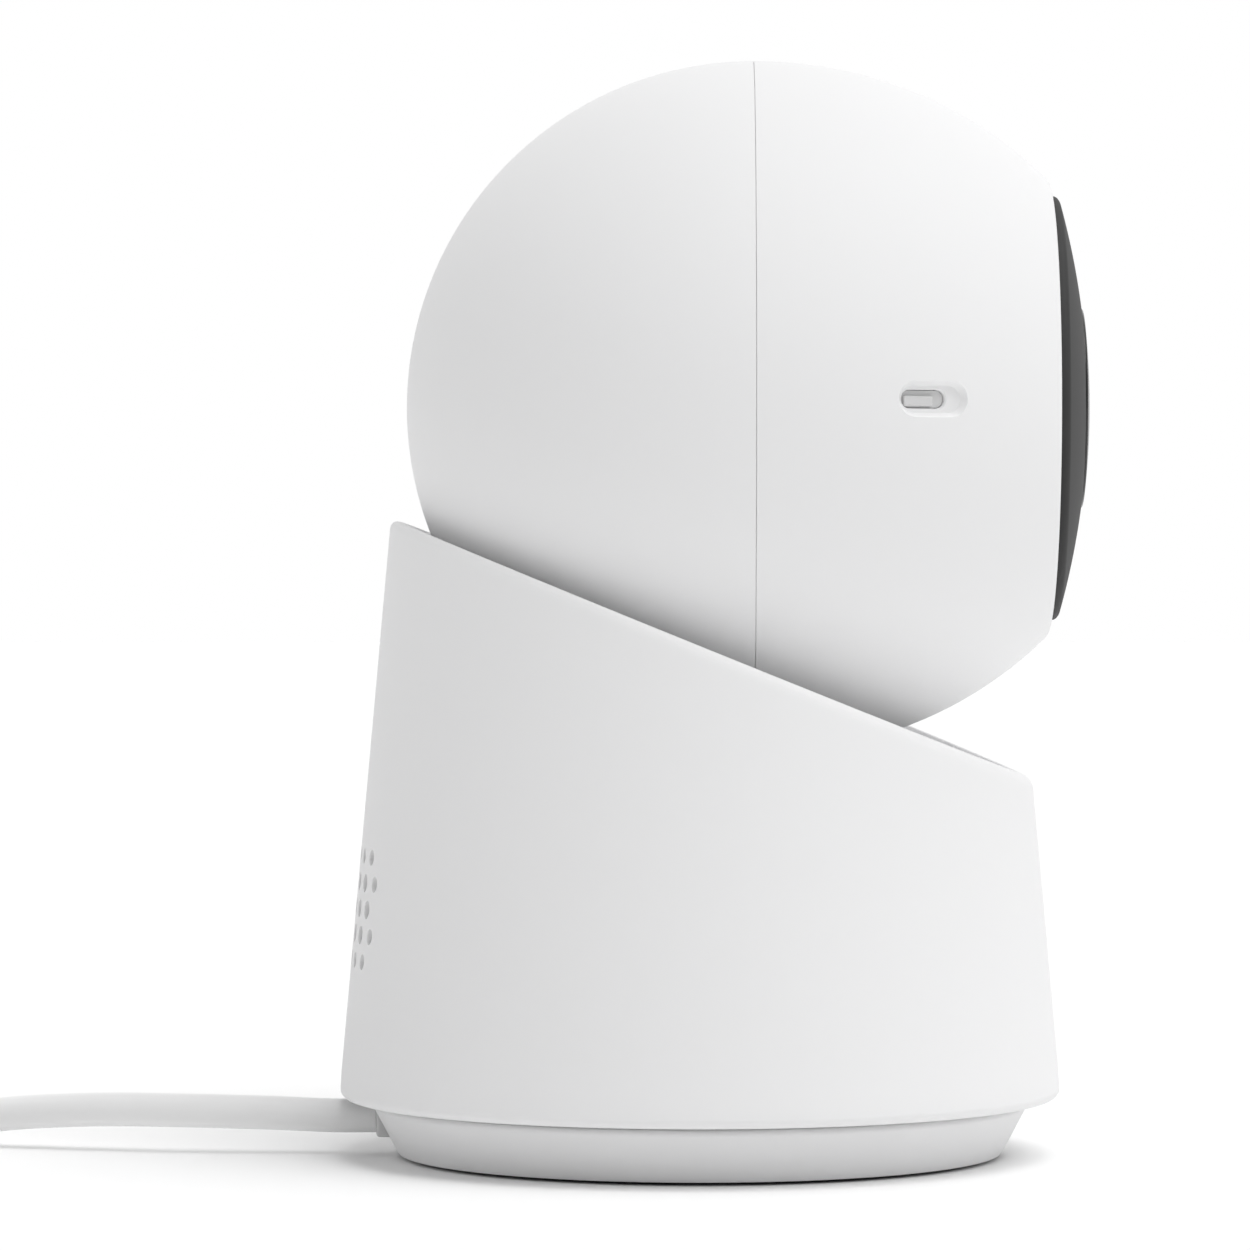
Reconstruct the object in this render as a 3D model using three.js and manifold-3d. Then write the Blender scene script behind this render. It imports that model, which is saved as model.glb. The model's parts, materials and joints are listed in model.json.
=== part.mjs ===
// Pan-and-tilt indoor security camera, in millimetres, +Z up.
// The origin is on the pan axis at the surface that the camera stands on; the lens faces -Y.

import * as THREE from 'three';
import { mergeVertices } from 'three/addons/utils/BufferGeometryUtils.js';
import Module from 'manifold-3d';

const wasm = await Module();
wasm.setup();

// ---------------------------------------------------------------- driving dimensions

const GAP = 0.3;              // clearance kept between neighbouring pieces
const MERGE = 1e-4;           // corners closer than this are one corner
const ROUND = 36;              // sides of a large turned piece
const SMALL_ROUND = 16;       // sides of a small turned piece
const TINY_ROUND = 8;         // sides of a screw, a pin or a hole

// head: a half ball behind the seam, a longer half ellipsoid in front of it
const HEAD_Y = -5.8;
const HEAD_Z = 81.5;
const HEAD_R = 37.8;
const HEAD_NOSE = 42.6;       // front half axis of the ellipsoid
const HEAD_WALL = 1.8;
const RING_Z = 31.85;         // where the front shell is cut off
const RING_FACE_Z = 32.2;    // front face of its chamfered lip
const BEZEL_R = 23.15;
const DOME_R = 83;            // radius of the domed black front
const DOME_APEX = 36.4;
const WINDOW_R = 11;
const TILT_MIN = -15;
const TILT_MAX = 60;

// tapered body
const BODY_BOTTOM = 6.35;
const BODY_R0 = 39.03;        // radius at BODY_Z0
const BODY_Z0 = 10.26;
const BODY_TAPER = 0.0894;    // radius lost for each millimetre of height
const BODY_WALL = 1.7;
const RIM_Z = 55.85;          // height of the slanted rim on the pan axis
const RIM_SLOPE = 0.405;
const BOWL_R = 41;
const BOWL_Y = -8.1;
const BOWL_WALL = 1.8;
const BOWL_RECESS = 0.8;      // depth of the bowl's deck below the rim

// pedestal
const PEDESTAL_TOP = 6;
const PEDESTAL_TOP_R = 35.6;
const PEDESTAL_FOOT_R = 33.2;
const PEDESTAL_FOOT_Z = 0.8;
const FLOOR_UNDER = 0.5;
const HUB_R = 8;
const HUB_BORE = 5.5;

// gears
const PAN_MODULE = 0.75;
const PAN_TEETH = 40;
const TILT_MODULE = 0.5;
const TILT_TEETH = 32;
const PINION_TEETH = 12;

// stalk that carries the head
const STALK_X = 5;
const STALK_Y = 4.5;
const AXLE_R = 2.2;

// lead
const CORD_D = 3.7;
const CORD_Z = 4.2;
const CORD_EXIT_Y = 35.6;
const TURN_PITCH = 3.8;
const COIL_R = 22.2;          // middle of the three columns of turns
const COIL_LAYERS = 4;
const COIL_Y = 112;
const LEAD_SHIFT = 12;         // sideways run of the lead before the coil

// ---------------------------------------------------------------- finishes

/** Plain finish from a colour, a roughness and a metalness. */
function finish(color, roughness, metalness = 0) {
  return () => new THREE.MeshStandardMaterial({ color, roughness, metalness });
}

const WHITE = finish(0xf0f0f0, 0.45);
const INNER_WHITE = finish(0xe4e4e4, 0.5);
const SATIN_BLACK = finish(0x202022, 0.35);
const GLOSS_BLACK = finish(0x060608, 0.05);
const RUBBER = finish(0x3a3a3c, 0.9);
const CREAM = finish(0xd8d2c0, 0.5);
const STEEL = finish(0xb4b6ba, 0.35, 1);
const BRASS = finish(0xc2a05a, 0.35, 1);
const ALUMINIUM = finish(0xc8cacc, 0.4, 1);
const BOARD = finish(0x1f6b3c, 0.6);
const PAPER = finish(0x2c2c2e, 0.95);
const CLOTH = finish(0x8f9092, 0.95);
const GLASS = finish(0x10141c, 0.03);
const LAMP = finish(0xd8d8e4, 0.15);

// ---------------------------------------------------------------- solid tools

/** Six times the signed volume of a triangle list. */
function signedVolume(position, index) {
  let sum = 0;
  const corner = [new THREE.Vector3(), new THREE.Vector3(), new THREE.Vector3()];
  for (let i = 0; i < index.length; i += 3) {
    corner.forEach((point, k) => point.fromBufferAttribute(position, index[i + k]));
    sum += corner[0].dot(corner[1].cross(corner[2]));
  }
  return sum;
}

/** Merge shared corners, drop empty triangles and turn the faces outward. */
function closed(source) {
  const bare = source.clone();
  for (const name of Object.keys(bare.attributes)) {
    if (name !== 'position') bare.deleteAttribute(name);
  }
  const merged = mergeVertices(bare, MERGE);
  const old = merged.index.array;
  const kept = [];
  for (let i = 0; i < old.length; i += 3) {
    const [a, b, c] = [old[i], old[i + 1], old[i + 2]];
    if (a !== b && b !== c && c !== a) kept.push(a, b, c);
  }
  if (signedVolume(merged.attributes.position, kept) < 0) kept.reverse();
  const solid = new THREE.BufferGeometry();
  solid.setAttribute('position', merged.attributes.position);
  solid.setIndex(kept);
  return solid;
}

/** The boolean library's solid for a closed geometry. */
function toSolid(geometry) {
  const clean = closed(geometry);
  const vertProperties = new Float32Array(clean.attributes.position.array);
  const triVerts = new Uint32Array(clean.index.array);
  return new wasm.Manifold(new wasm.Mesh({ numProp: 3, vertProperties, triVerts }));
}

/** The geometry of a boolean library's solid. */
function fromSolid(solid) {
  const mesh = solid.getMesh();
  const geometry = new THREE.BufferGeometry();
  geometry.setAttribute('position', new THREE.BufferAttribute(new Float32Array(mesh.vertProperties), 3));
  geometry.setIndex(Array.from(mesh.triVerts));
  return geometry;
}

/** A piece with other pieces cut out of it. */
function cut(base, ...tools) {
  return fromSolid(tools.reduce((solid, tool) => solid.subtract(toSolid(tool)), toSolid(base)));
}

/** Several pieces joined into one. */
function join(base, ...others) {
  return fromSolid(others.reduce((solid, other) => solid.add(toSolid(other)), toSolid(base)));
}

/** What two pieces have in common. */
function common(base, other) {
  return fromSolid(toSolid(base).intersect(toSolid(other)));
}

// ---------------------------------------------------------------- shape tools

/** A solid turned about Z from [radius, height] points. */
function turned(profile, sides = ROUND) {
  const points = profile.map(([radius, height]) => new THREE.Vector2(radius, height));
  return closed(new THREE.LatheGeometry(points, sides).rotateX(Math.PI / 2));
}

/** A hollow turned ring between two radii and two heights. */
function ring(inner, outer, low, high, sides = ROUND) {
  return turned([[inner, low], [outer, low], [outer, high], [inner, high], [inner, low]], sides);
}

/** A round rod along Z between two heights. */
function rod(radius, low, high, x = 0, y = 0, sides = TINY_ROUND) {
  const shape = new THREE.CylinderGeometry(radius, radius, high - low, sides).rotateX(Math.PI / 2);
  return closed(shape.translate(x, y, (low + high) / 2));
}

/** A box between two opposite corners. */
function box(low, high) {
  const size = high.map((value, k) => value - low[k]);
  const middle = high.map((value, k) => (value + low[k]) / 2);
  return closed(new THREE.BoxGeometry(...size).translate(...middle));
}

/** A flat outline raised along Z between two heights. */
function raised(outline, low, high, curveSegments = TINY_ROUND) {
  const options = { depth: high - low, bevelEnabled: false, curveSegments };
  return closed(new THREE.ExtrudeGeometry(outline, options).translate(0, 0, low));
}

/** Stand a piece built along Z so that it runs along X. */
function alongX(geometry) {
  const basis = new THREE.Matrix4().makeBasis(
    new THREE.Vector3(0, 1, 0), new THREE.Vector3(0, 0, 1), new THREE.Vector3(1, 0, 0));
  return geometry.applyMatrix4(basis);
}

/** Stand a piece built along Z so that it runs along +Y, with its own Y downward. */
function alongY(geometry) {
  return geometry.rotateX(-Math.PI / 2);
}

/** A closed shape with round ends, lying along its first axis. */
function obround(length, width) {
  const shape = new THREE.Shape();
  const reach = (length - width) / 2;
  shape.absarc(reach, 0, width / 2, -Math.PI / 2, Math.PI / 2, false);
  shape.absarc(-reach, 0, width / 2, Math.PI / 2, Math.PI * 1.5, false);
  return shape;
}

/** Part of a flat ring between two angles in radians. */
function ringSector(inner, outer, from, to) {
  const shape = new THREE.Shape();
  shape.absarc(0, 0, outer, from, to, false);
  shape.absarc(0, 0, inner, to, from, true);
  return shape;
}

/** The outline of a toothed wheel; the first tooth, or the first space, points along the angle. */
function toothedOutline(teeth, module, angle, startWithTooth, bore) {
  const pitchR = (teeth * module) / 2;
  const step = (2 * Math.PI) / teeth;
  const corners = [
    [-1.0, pitchR - 1.1 * module],
    [-0.45, pitchR + 0.75 * module],
    [0.45, pitchR + 0.75 * module],
    [1.0, pitchR - 1.1 * module],
  ];
  const shape = new THREE.Shape();
  for (let i = 0; i < teeth; i += 1) {
    const middle = angle + (i + (startWithTooth ? 0 : 0.5)) * step;
    corners.forEach(([offset, radius], k) => {
      const turn = middle + (offset * module) / pitchR;
      const point = [radius * Math.cos(turn), radius * Math.sin(turn)];
      if (i === 0 && k === 0) shape.moveTo(...point);
      else shape.lineTo(...point);
    });
  }
  shape.closePath();
  shape.holes.push(new THREE.Path().absarc(0, 0, bore, 0, 2 * Math.PI, true));
  return shape;
}

/** A pan-head screw along Z, head first at the low end. */
function screw(headR, headHeight, shankR, length) {
  return turned([
    [0, 0],
    [headR * 0.8, 0],
    [headR, headHeight * 0.4],
    [headR, headHeight],
    [shankR, headHeight],
    [shankR, length],
    [0, length],
  ], TINY_ROUND);
}

/** Points of an arc of a circle or an ellipse about the origin, from one angle to another. */
function arc(alongR, alongZ, from, to, steps) {
  return Array.from({ length: steps + 1 }, (_, i) => {
    const angle = from + ((to - from) * i) / steps;
    return [alongR * Math.cos(angle), alongZ * Math.sin(angle)];
  });
}

/** Put a named piece in a group. */
function place(group, name, geometry, paint) {
  const mesh = new THREE.Mesh(closed(geometry), paint());
  mesh.name = name;
  group.add(mesh);
  return mesh;
}

const camera = new THREE.Group();
const pedestal = new THREE.Group();
const turret = new THREE.Group();
const head = new THREE.Group();
const lead = new THREE.Group();
camera.add(pedestal, turret, head, lead);

// The head's own frame has X to the side, Y up and Z forward.
head.position.set(0, HEAD_Y, HEAD_Z);
head.rotation.x = Math.PI / 2;

// ---------------------------------------------------------------- pedestal

const FLOOR_TOP = 2.4;
const FOOT_INNER_R = 24;
const FOOT_OUTER_R = 31.5;
const SCREW_CIRCLE = 20;
const FLOOR_SCREWS = [30, 150, 270];
const SLOT_ANGLES = [90, 210, 330];
const SLOT_CIRCLE = 16;
const PAN_GEAR_LOW = 11.3;
const PAN_GEAR_HIGH = 13.3;
const PAN_MESH = THREE.MathUtils.degToRad(-135);
const PAN_REACH = (PAN_MODULE * (PAN_TEETH + PINION_TEETH)) / 2;

/** A point on a circle about the pan axis, from an angle in degrees. */
function around(radius, degrees) {
  const angle = THREE.MathUtils.degToRad(degrees);
  return [radius * Math.cos(angle), radius * Math.sin(angle)];
}

/** Side wall and raised top plate of the pedestal, with the notch for the lead. */
function pedestalShell() {
  const plateUnder = 6.6;
  const plateTop = 8;
  const boreR = HUB_R + GAP + 0.1;
  let shell = turned([
    [PEDESTAL_FOOT_R, PEDESTAL_FOOT_Z],
    [PEDESTAL_TOP_R, PEDESTAL_TOP - 0.4],
    [PEDESTAL_TOP_R - 0.4, PEDESTAL_TOP],
    [31, PEDESTAL_TOP],
    [30.4, plateTop],
    [boreR, plateTop],
    [boreR, plateUnder],
    [29.2, plateUnder],
    [29.8, 4.7],
    [33.6, 4.7],
    [31.9, PEDESTAL_FOOT_Z],
    [PEDESTAL_FOOT_R, PEDESTAL_FOOT_Z],
  ]);
  const posts = FLOOR_SCREWS.map((angle) => rod(3.2, FLOOR_TOP + GAP, plateUnder + 0.2, ...around(SCREW_CIRCLE, angle)));
  const holes = FLOOR_SCREWS.map((angle) => rod(1.1, FLOOR_TOP, plateUnder - 0.4, ...around(SCREW_CIRCLE, angle)));
  shell = cut(join(shell, ...posts), ...holes, box([-2.5, 29.9, 1.7], [2.5, 37, 6.2]));
  return shell;
}

/** Bottom plate: plain middle, three twist-lock slots for a wall bracket, three sunk screw holes. */
function pedestalFloor() {
  const plate = turned([
    [0, FLOOR_UNDER],
    [FOOT_INNER_R - GAP, FLOOR_UNDER],
    [FOOT_INNER_R - GAP, 1.1],
    [FOOT_OUTER_R, 1.1],
    [FOOT_OUTER_R, FLOOR_TOP],
    [0, FLOOR_TOP],
  ]);
  const cutters = [];
  for (const angle of FLOOR_SCREWS) {
    cutters.push(rod(2.4, 0, 1.6, ...around(SCREW_CIRCLE, angle)));
    cutters.push(rod(1.2, 1, 3, ...around(SCREW_CIRCLE, angle)));
  }
  for (const angle of SLOT_ANGLES) {
    const from = THREE.MathUtils.degToRad(angle - 20);
    const to = THREE.MathUtils.degToRad(angle + 14);
    cutters.push(raised(ringSector(SLOT_CIRCLE - 1.4, SLOT_CIRCLE + 1.4, from, to), 0, 3));
    cutters.push(rod(2.8, 0, 3, ...around(SLOT_CIRCLE, angle - 20)));
  }
  return cut(plate, ...cutters);
}

/** Power board with its coil, under the pedestal's top plate. */
function powerBoard() {
  const from = THREE.MathUtils.degToRad(205);
  const to = THREE.MathUtils.degToRad(335);
  return join(raised(ringSector(23.8, 29.2, from, to), 3, 4.2), box([-4, -28, 4.1], [4, -25, 6.2]));
}

place(pedestal, 'foot_ring', ring(FOOT_INNER_R, FOOT_OUTER_R, 0, 0.8), RUBBER);
place(pedestal, 'pedestal_floor', pedestalFloor(), WHITE);
place(pedestal, 'pedestal_shell', pedestalShell(), WHITE);
FLOOR_SCREWS.forEach((angle, i) => {
  const piece = screw(2, 0.7, 0.8, 5).translate(...around(SCREW_CIRCLE, angle), 0.6);
  place(pedestal, `floor_screw_${i + 1}`, piece, STEEL);
});
place(pedestal, 'power_board', powerBoard(), BOARD);
place(pedestal, 'pan_hub', turned([
  [HUB_BORE, 5],
  [12.5, 5],
  [12.5, 6.3],
  [HUB_R, 6.3],
  [HUB_R, 15],
  [HUB_BORE, 15],
  [HUB_BORE, 5],
], SMALL_ROUND), CREAM);
place(pedestal, 'thrust_washer', ring(9.2, 14, 8.3, 8.9, SMALL_ROUND), CREAM);
place(pedestal, 'pan_gear', raised(
  toothedOutline(PAN_TEETH, PAN_MODULE, PAN_MESH, true, HUB_R + GAP + 0.1), PAN_GEAR_LOW, PAN_GEAR_HIGH), CREAM);
place(pedestal, 'hub_ring', ring(HUB_R + GAP + 0.1, 11, 13.6, 14.8, SMALL_ROUND), STEEL);
place(pedestal, 'cord_gland', box([-2.2, 31.9, 2], [2.2, 35.3, 5.9]), RUBBER);

// ---------------------------------------------------------------- turret

const PAN_MOTOR = [PAN_REACH * Math.cos(PAN_MESH), PAN_REACH * Math.sin(PAN_MESH)];
const MOTOR_EAR_REACH = 9.5;
const SPEAKER_Z = 26.75;
const HOLE_PITCH = 3.1;
const HOLE_ROW = 2.83;
const HOLE_ROWS = [7, 8, 7, 8, 7];
const STALK_FLANGE_LOW = 33.7;
const STALK_FLANGE_HIGH = 35.7;
const TILT_MESH = THREE.MathUtils.degToRad(40);
const TILT_REACH = (TILT_MODULE * (TILT_TEETH + PINION_TEETH)) / 2;

/** Radius of the tapered body at a height. */
function bodyRadius(z) {
  return BODY_R0 - BODY_TAPER * (z - BODY_Z0);
}

/** Everything below the slanted rim plane, moved down by a depth. */
function belowRim(depth) {
  const block = new THREE.BoxGeometry(200, 200, 100).translate(0, 0, -50);
  return closed(block.rotateX(Math.atan(RIM_SLOPE)).translate(0, 0, RIM_Z - depth));
}

/** A ball about the bowl's centre. */
function bowlBall(radius) {
  const ball = turned(arc(radius, radius, -Math.PI / 2, Math.PI / 2, 16), ROUND);
  return ball.translate(0, BOWL_Y, HEAD_Z);
}

/** The speaker's sound holes through the back wall. */
function speakerHoles() {
  const holes = [];
  HOLE_ROWS.forEach((count, row) => {
    for (let i = 0; i < count; i += 1) {
      const atEnd = row % 4 === 0 || (count === 8 && (i === 0 || i === count - 1));
      const x = (i - (count - 1) / 2) * HOLE_PITCH;
      const z = SPEAKER_Z + (row - 2) * HOLE_ROW;
      holes.push(alongY(rod(atEnd ? 0.85 : 1, 30, 42)).translate(x, 0, z));
    }
  });
  return holes;
}

/** Tapered wall with the slanted rim. */
function bodyShell() {
  const top = 75;
  const wall = turned([
    [38.2, BODY_BOTTOM],
    [38.9, BODY_BOTTOM + 0.35],
    [39.22, BODY_BOTTOM + 1.2],
    [bodyRadius(BODY_Z0), BODY_Z0],
    [bodyRadius(top), top],
    [bodyRadius(top) - BODY_WALL, top],
    [bodyRadius(BODY_BOTTOM) - BODY_WALL, BODY_BOTTOM],
    [38.2, BODY_BOTTOM],
  ]);
  return cut(common(wall, belowRim(0)), ...speakerHoles());
}

/** Bowl with its deck under the rim and a boss for the stalk. */
function bowl() {
  const low = 33;
  const high = 75;
  const inside = BODY_WALL + GAP;
  const plug = turned([[0, low], [bodyRadius(low) - inside, low], [bodyRadius(high) - inside, high], [0, high]]);
  const under = cut(belowRim(BOWL_RECESS + 2), bowlBall(BOWL_R + BOWL_WALL));
  const dish = cut(common(plug, belowRim(BOWL_RECESS)), under);
  const boss = rod(12.5, 36, 43, 0, HEAD_Y, SMALL_ROUND);
  const way = box(
    [-STALK_X - GAP, HEAD_Y - STALK_Y - GAP, 30],
    [STALK_X + GAP, HEAD_Y + STALK_Y + GAP, 50]);
  const holes = stalkScrewPlaces().map(([x, y]) => rod(1.1, 35, 39.3, x, y));
  return cut(join(dish, boss), bowlBall(BOWL_R), way, ...holes);
}

/** Where the two stalk screws stand. */
function stalkScrewPlaces() {
  return [-8.5, 8.5].map((x) => [x, HEAD_Y]);
}

/** Post with a flange at its foot and an eye for the tilt axle at its top. */
function stalk() {
  const post = box(
    [-STALK_X, HEAD_Y - STALK_Y, STALK_FLANGE_LOW + 0.2],
    [STALK_X, HEAD_Y + STALK_Y, HEAD_Z]);
  const flange = rod(12, STALK_FLANGE_LOW, STALK_FLANGE_HIGH, 0, HEAD_Y, SMALL_ROUND);
  const eye = alongX(rod(5.5, -STALK_X, STALK_X, 0, 0, SMALL_ROUND)).translate(0, HEAD_Y, HEAD_Z);
  const bore = alongX(rod(AXLE_R + GAP, -20, 20)).translate(0, HEAD_Y, HEAD_Z);
  const holes = stalkScrewPlaces().map(([x, y]) => rod(1.1, 30, 40, x, y));
  return cut(join(post, flange, eye), bore, ...holes);
}

/** Floor of the turret, dished over the pedestal's raised plate, with two motor posts. */
function turretFloor() {
  const plate = turned([
    [HUB_R + 0.6, 9.2],
    [31.6, 9.2],
    [31.6, 6.6],
    [37, 6.6],
    [37, 11],
    [HUB_R + 0.6, 11],
    [HUB_R + 0.6, 9.2],
  ]);
  const posts = motorEars().map(([x, y]) => rod(2.2, 10.8, 16.2, x, y));
  const holes = motorEars().map(([x, y]) => rod(1.1, 12, 17, x, y));
  return cut(join(plate, ...posts), ...holes);
}

/** Where the pan motor's two ears stand. */
function motorEars() {
  const side = PAN_MESH + Math.PI / 2;
  return [-1, 1].map((sign) => [
    PAN_MOTOR[0] + sign * MOTOR_EAR_REACH * Math.cos(side),
    PAN_MOTOR[1] + sign * MOTOR_EAR_REACH * Math.sin(side),
  ]);
}

/** Geared motor with two ears and its shaft pointing down. */
function panMotor() {
  const ears = raised(obround(MOTOR_EAR_REACH * 2 + 5, 5), 16.5, 17.5).rotateZ(PAN_MESH + Math.PI / 2);
  const body = rod(7.5, 16.5, 30.5, 0, 0, SMALL_ROUND);
  const shaft = rod(1.2, 11.4, 16.7);
  const motor = join(ears, body, shaft).translate(...PAN_MOTOR, 0);
  return cut(motor, ...motorEars().map(([x, y]) => rod(1.1, 16, 18, x, y)));
}

/** Basket of the speaker, turned about its own axis. */
function speakerFrame() {
  return turned([
    [11.2, 32], [12.8, 32], [12.8, 30.2], [11.8, 29.6], [8.2, 25.4], [5, 25.4], [5, 26.4], [7.8, 26.4],
    [11.2, 30.4], [11.2, 32],
  ], SMALL_ROUND);
}

/** Cone of the speaker with its dust cap. */
function speakerCone() {
  return turned([
    [0, 27.2], [3, 27.2], [10.4, 30.9], [10.9, 31.4], [10.2, 31.7], [3.2, 28.4], [1.8, 29], [0, 29.2],
  ], SMALL_ROUND);
}

place(turret, 'body_shell', bodyShell(), WHITE);
place(turret, 'turret_floor', turretFloor(), INNER_WHITE);
place(turret, 'pan_motor', panMotor(), STEEL);
motorEars().forEach(([x, y], i) => {
  const piece = screw(1.9, 0.7, 0.8, 5).rotateX(Math.PI).translate(x, y, 18.5);
  place(turret, `motor_screw_${i + 1}`, piece, STEEL);
});
place(turret, 'pan_pinion', raised(
  toothedOutline(PINION_TEETH, PAN_MODULE, PAN_MESH + Math.PI, false, 1.5),
  PAN_GEAR_LOW + 0.15, PAN_GEAR_HIGH - 0.15).translate(...PAN_MOTOR, 0), BRASS);
place(turret, 'speaker_frame', alongY(speakerFrame()).translate(0, 0, SPEAKER_Z), STEEL);
place(turret, 'speaker_cone', alongY(speakerCone()).translate(0, 0, SPEAKER_Z), PAPER);
place(turret, 'speaker_magnet', alongY(rod(7.4, 20.5, 25.1, 0, 0, SMALL_ROUND)).translate(0, 0, SPEAKER_Z), STEEL);
place(turret, 'speaker_cloth', alongY(rod(12.4, 32.4, 32.9, 0, 0, SMALL_ROUND)).translate(0, 0, SPEAKER_Z), CLOTH);
place(turret, 'main_board', join(
  box([14, -20, 14], [15.4, 16, 37]), box([12.6, -8, 18], [14.1, 2, 27])), BOARD);
place(turret, 'heat_spreader', box([15.7, -12, 16], [18.2, 10, 34]), ALUMINIUM);
place(turret, 'antenna', box([-9, -30, 16], [9, -29.2, 36]), BRASS);
place(turret, 'bowl', bowl(), WHITE);
place(turret, 'stalk', stalk(), INNER_WHITE);
stalkScrewPlaces().forEach(([x, y], i) => {
  place(turret, `stalk_screw_${i + 1}`, screw(1.7, 0.8, 0.8, 6).translate(x, y, 32.6), STEEL);
});
place(turret, 'tilt_axle', alongX(rod(AXLE_R, -12.5, 12.5)).translate(0, HEAD_Y, HEAD_Z), STEEL);
place(turret, 'tilt_gear', alongX(raised(
  toothedOutline(TILT_TEETH, TILT_MODULE, TILT_MESH, true, AXLE_R + GAP), 5.3, 7.3))
  .translate(0, HEAD_Y, HEAD_Z), CREAM);

// ---------------------------------------------------------------- head

const SEAM = GAP / 2;
const SLOT_X = STALK_X + 0.6;
const SLOT_MARGIN = 8;        // degrees from the stalk's middle to the end of the slot
const LAMP_COUNT = 4;
const LAMP_CIRCLE = 15.5;
const BUTTON_AIM = new THREE.Vector3(0.3, -0.86, 0.41).normalize();
const PORT_Z = 18.35;
const PORT_Y = -0.15;
const PORT_LENGTH = 8.1;
const PORT_WIDTH = 3.8;

/** Radius of the front ellipsoid at a distance in front of the seam. */
function noseRadius(z) {
  return HEAD_R * Math.sqrt(1 - (z / HEAD_NOSE) ** 2);
}

/** Height of the black dome at a radius. */
function domeHeight(radius) {
  return DOME_APEX - DOME_R + Math.sqrt(DOME_R ** 2 - radius ** 2);
}

/** The slot that lets the head tilt about the stalk. */
function stalkSlot() {
  const from = THREE.MathUtils.degToRad(-90 - TILT_MAX - SLOT_MARGIN);
  const to = THREE.MathUtils.degToRad(-90 - TILT_MIN + SLOT_MARGIN);
  const wedge = raised(ringSector(30, 46, from, to), -SLOT_X, SLOT_X, 12);
  const basis = new THREE.Matrix4().makeBasis(
    new THREE.Vector3(0, 0, 1), new THREE.Vector3(0, 1, 0), new THREE.Vector3(-1, 0, 0));
  return wedge.applyMatrix4(basis);
}

/** Move a piece built along Z so that it points along the reset button's aim. */
function aimed(geometry) {
  const turn = new THREE.Quaternion().setFromUnitVectors(new THREE.Vector3(0, 0, 1), BUTTON_AIM);
  return geometry.applyQuaternion(turn);
}

/** Distance from the head's centre to its surface along the button's aim. */
function buttonReach() {
  const across = (BUTTON_AIM.x ** 2 + BUTTON_AIM.y ** 2) / HEAD_R ** 2;
  return 1 / Math.sqrt(across + BUTTON_AIM.z ** 2 / HEAD_NOSE ** 2);
}

/** Stand a piece built on the XY plane on the side wall at the microphone port, its Z outward. */
function atPort(geometry) {
  const slope = (HEAD_R * PORT_Z) / (HEAD_NOSE ** 2 * Math.sqrt(1 - (PORT_Z / HEAD_NOSE) ** 2));
  const lean = Math.atan(slope);
  const basis = new THREE.Matrix4().makeBasis(
    new THREE.Vector3(Math.sin(lean), 0, Math.cos(lean)),
    new THREE.Vector3(0, 1, 0),
    new THREE.Vector3(-Math.cos(lean), 0, Math.sin(lean)));
  return geometry.applyMatrix4(basis.setPosition(-noseRadius(PORT_Z), PORT_Y, PORT_Z));
}

/** Rear half ball with two posts for the chassis. */
function rearShell() {
  const seamAngle = -Math.asin(SEAM / HEAD_R);
  const innerR = HEAD_R - HEAD_WALL;
  const outer = arc(HEAD_R, HEAD_R, -Math.PI / 2, seamAngle, 8);
  const inner = arc(innerR, innerR, seamAngle, -Math.PI / 2, 8);
  const posts = [-6, 6].map((x) => rod(2.6, -35.5, -27.3, x, 8));
  const holes = [-6, 6].map((x) => rod(1.1, -34, -27, x, 8));
  return cut(join(turned([...outer, ...inner]), ...posts), stalkSlot(), ...holes);
}

/** Front ellipsoid with the seat of the black bezel, the microphone port and the button's hole. */
function frontShell() {
  const outerEnd = Math.asin(RING_Z / HEAD_NOSE);
  const innerR = HEAD_R - HEAD_WALL;
  const innerNose = HEAD_NOSE - HEAD_WALL;
  const innerEnd = Math.asin(29.4 / innerNose);
  const outer = arc(HEAD_R, HEAD_NOSE, Math.asin(SEAM / HEAD_NOSE), outerEnd, 6);
  const inner = arc(innerR, innerNose, innerEnd, Math.asin(SEAM / innerNose), 6);
  const seat = [
    [BEZEL_R + 0.5, RING_FACE_Z],
    [BEZEL_R + GAP, RING_FACE_Z],
    [BEZEL_R + GAP, 30.9],
    [22, 30.9],
    [22, 29.4],
  ];
  const shell = turned([...outer, ...seat, ...inner, outer[0]]);
  const port = atPort(raised(obround(PORT_LENGTH, PORT_WIDTH), -1, 3));
  const pocket = atPort(raised(obround(5.4, 2.3), -4, 3).translate(-1.05, 0, 0));
  const buttonHole = aimed(rod(1.9, 30, 45));
  return cut(shell, stalkSlot(), port, pocket, buttonHole);
}

/** Domed black front with the hole for the lens window. */
function bezel() {
  const hole = WINDOW_R + GAP;
  const steps = 3;
  const top = [];
  const under = [];
  for (let i = 0; i <= steps; i += 1) {
    const radius = BEZEL_R + ((hole - BEZEL_R) * i) / steps;
    top.push([radius, domeHeight(radius)]);
    const inner = hole + ((21 - hole) * i) / steps;
    under.push([inner, domeHeight(inner) - 1.5]);
  }
  return turned([[BEZEL_R, 31.2], ...top, ...under, [21.6, 31.2], [BEZEL_R, 31.2]]);
}

/** Clear round window over the lens, slightly proud of the dome. */
function lensWindow() {
  const proud = 0.2;
  const steps = 3;
  const top = Array.from({ length: steps + 1 }, (_, i) => {
    const radius = WINDOW_R * (1 - i / steps);
    return [radius, domeHeight(radius) + proud];
  });
  return turned([[0, 35], [WINDOW_R, 35], ...top], ROUND);
}

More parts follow.
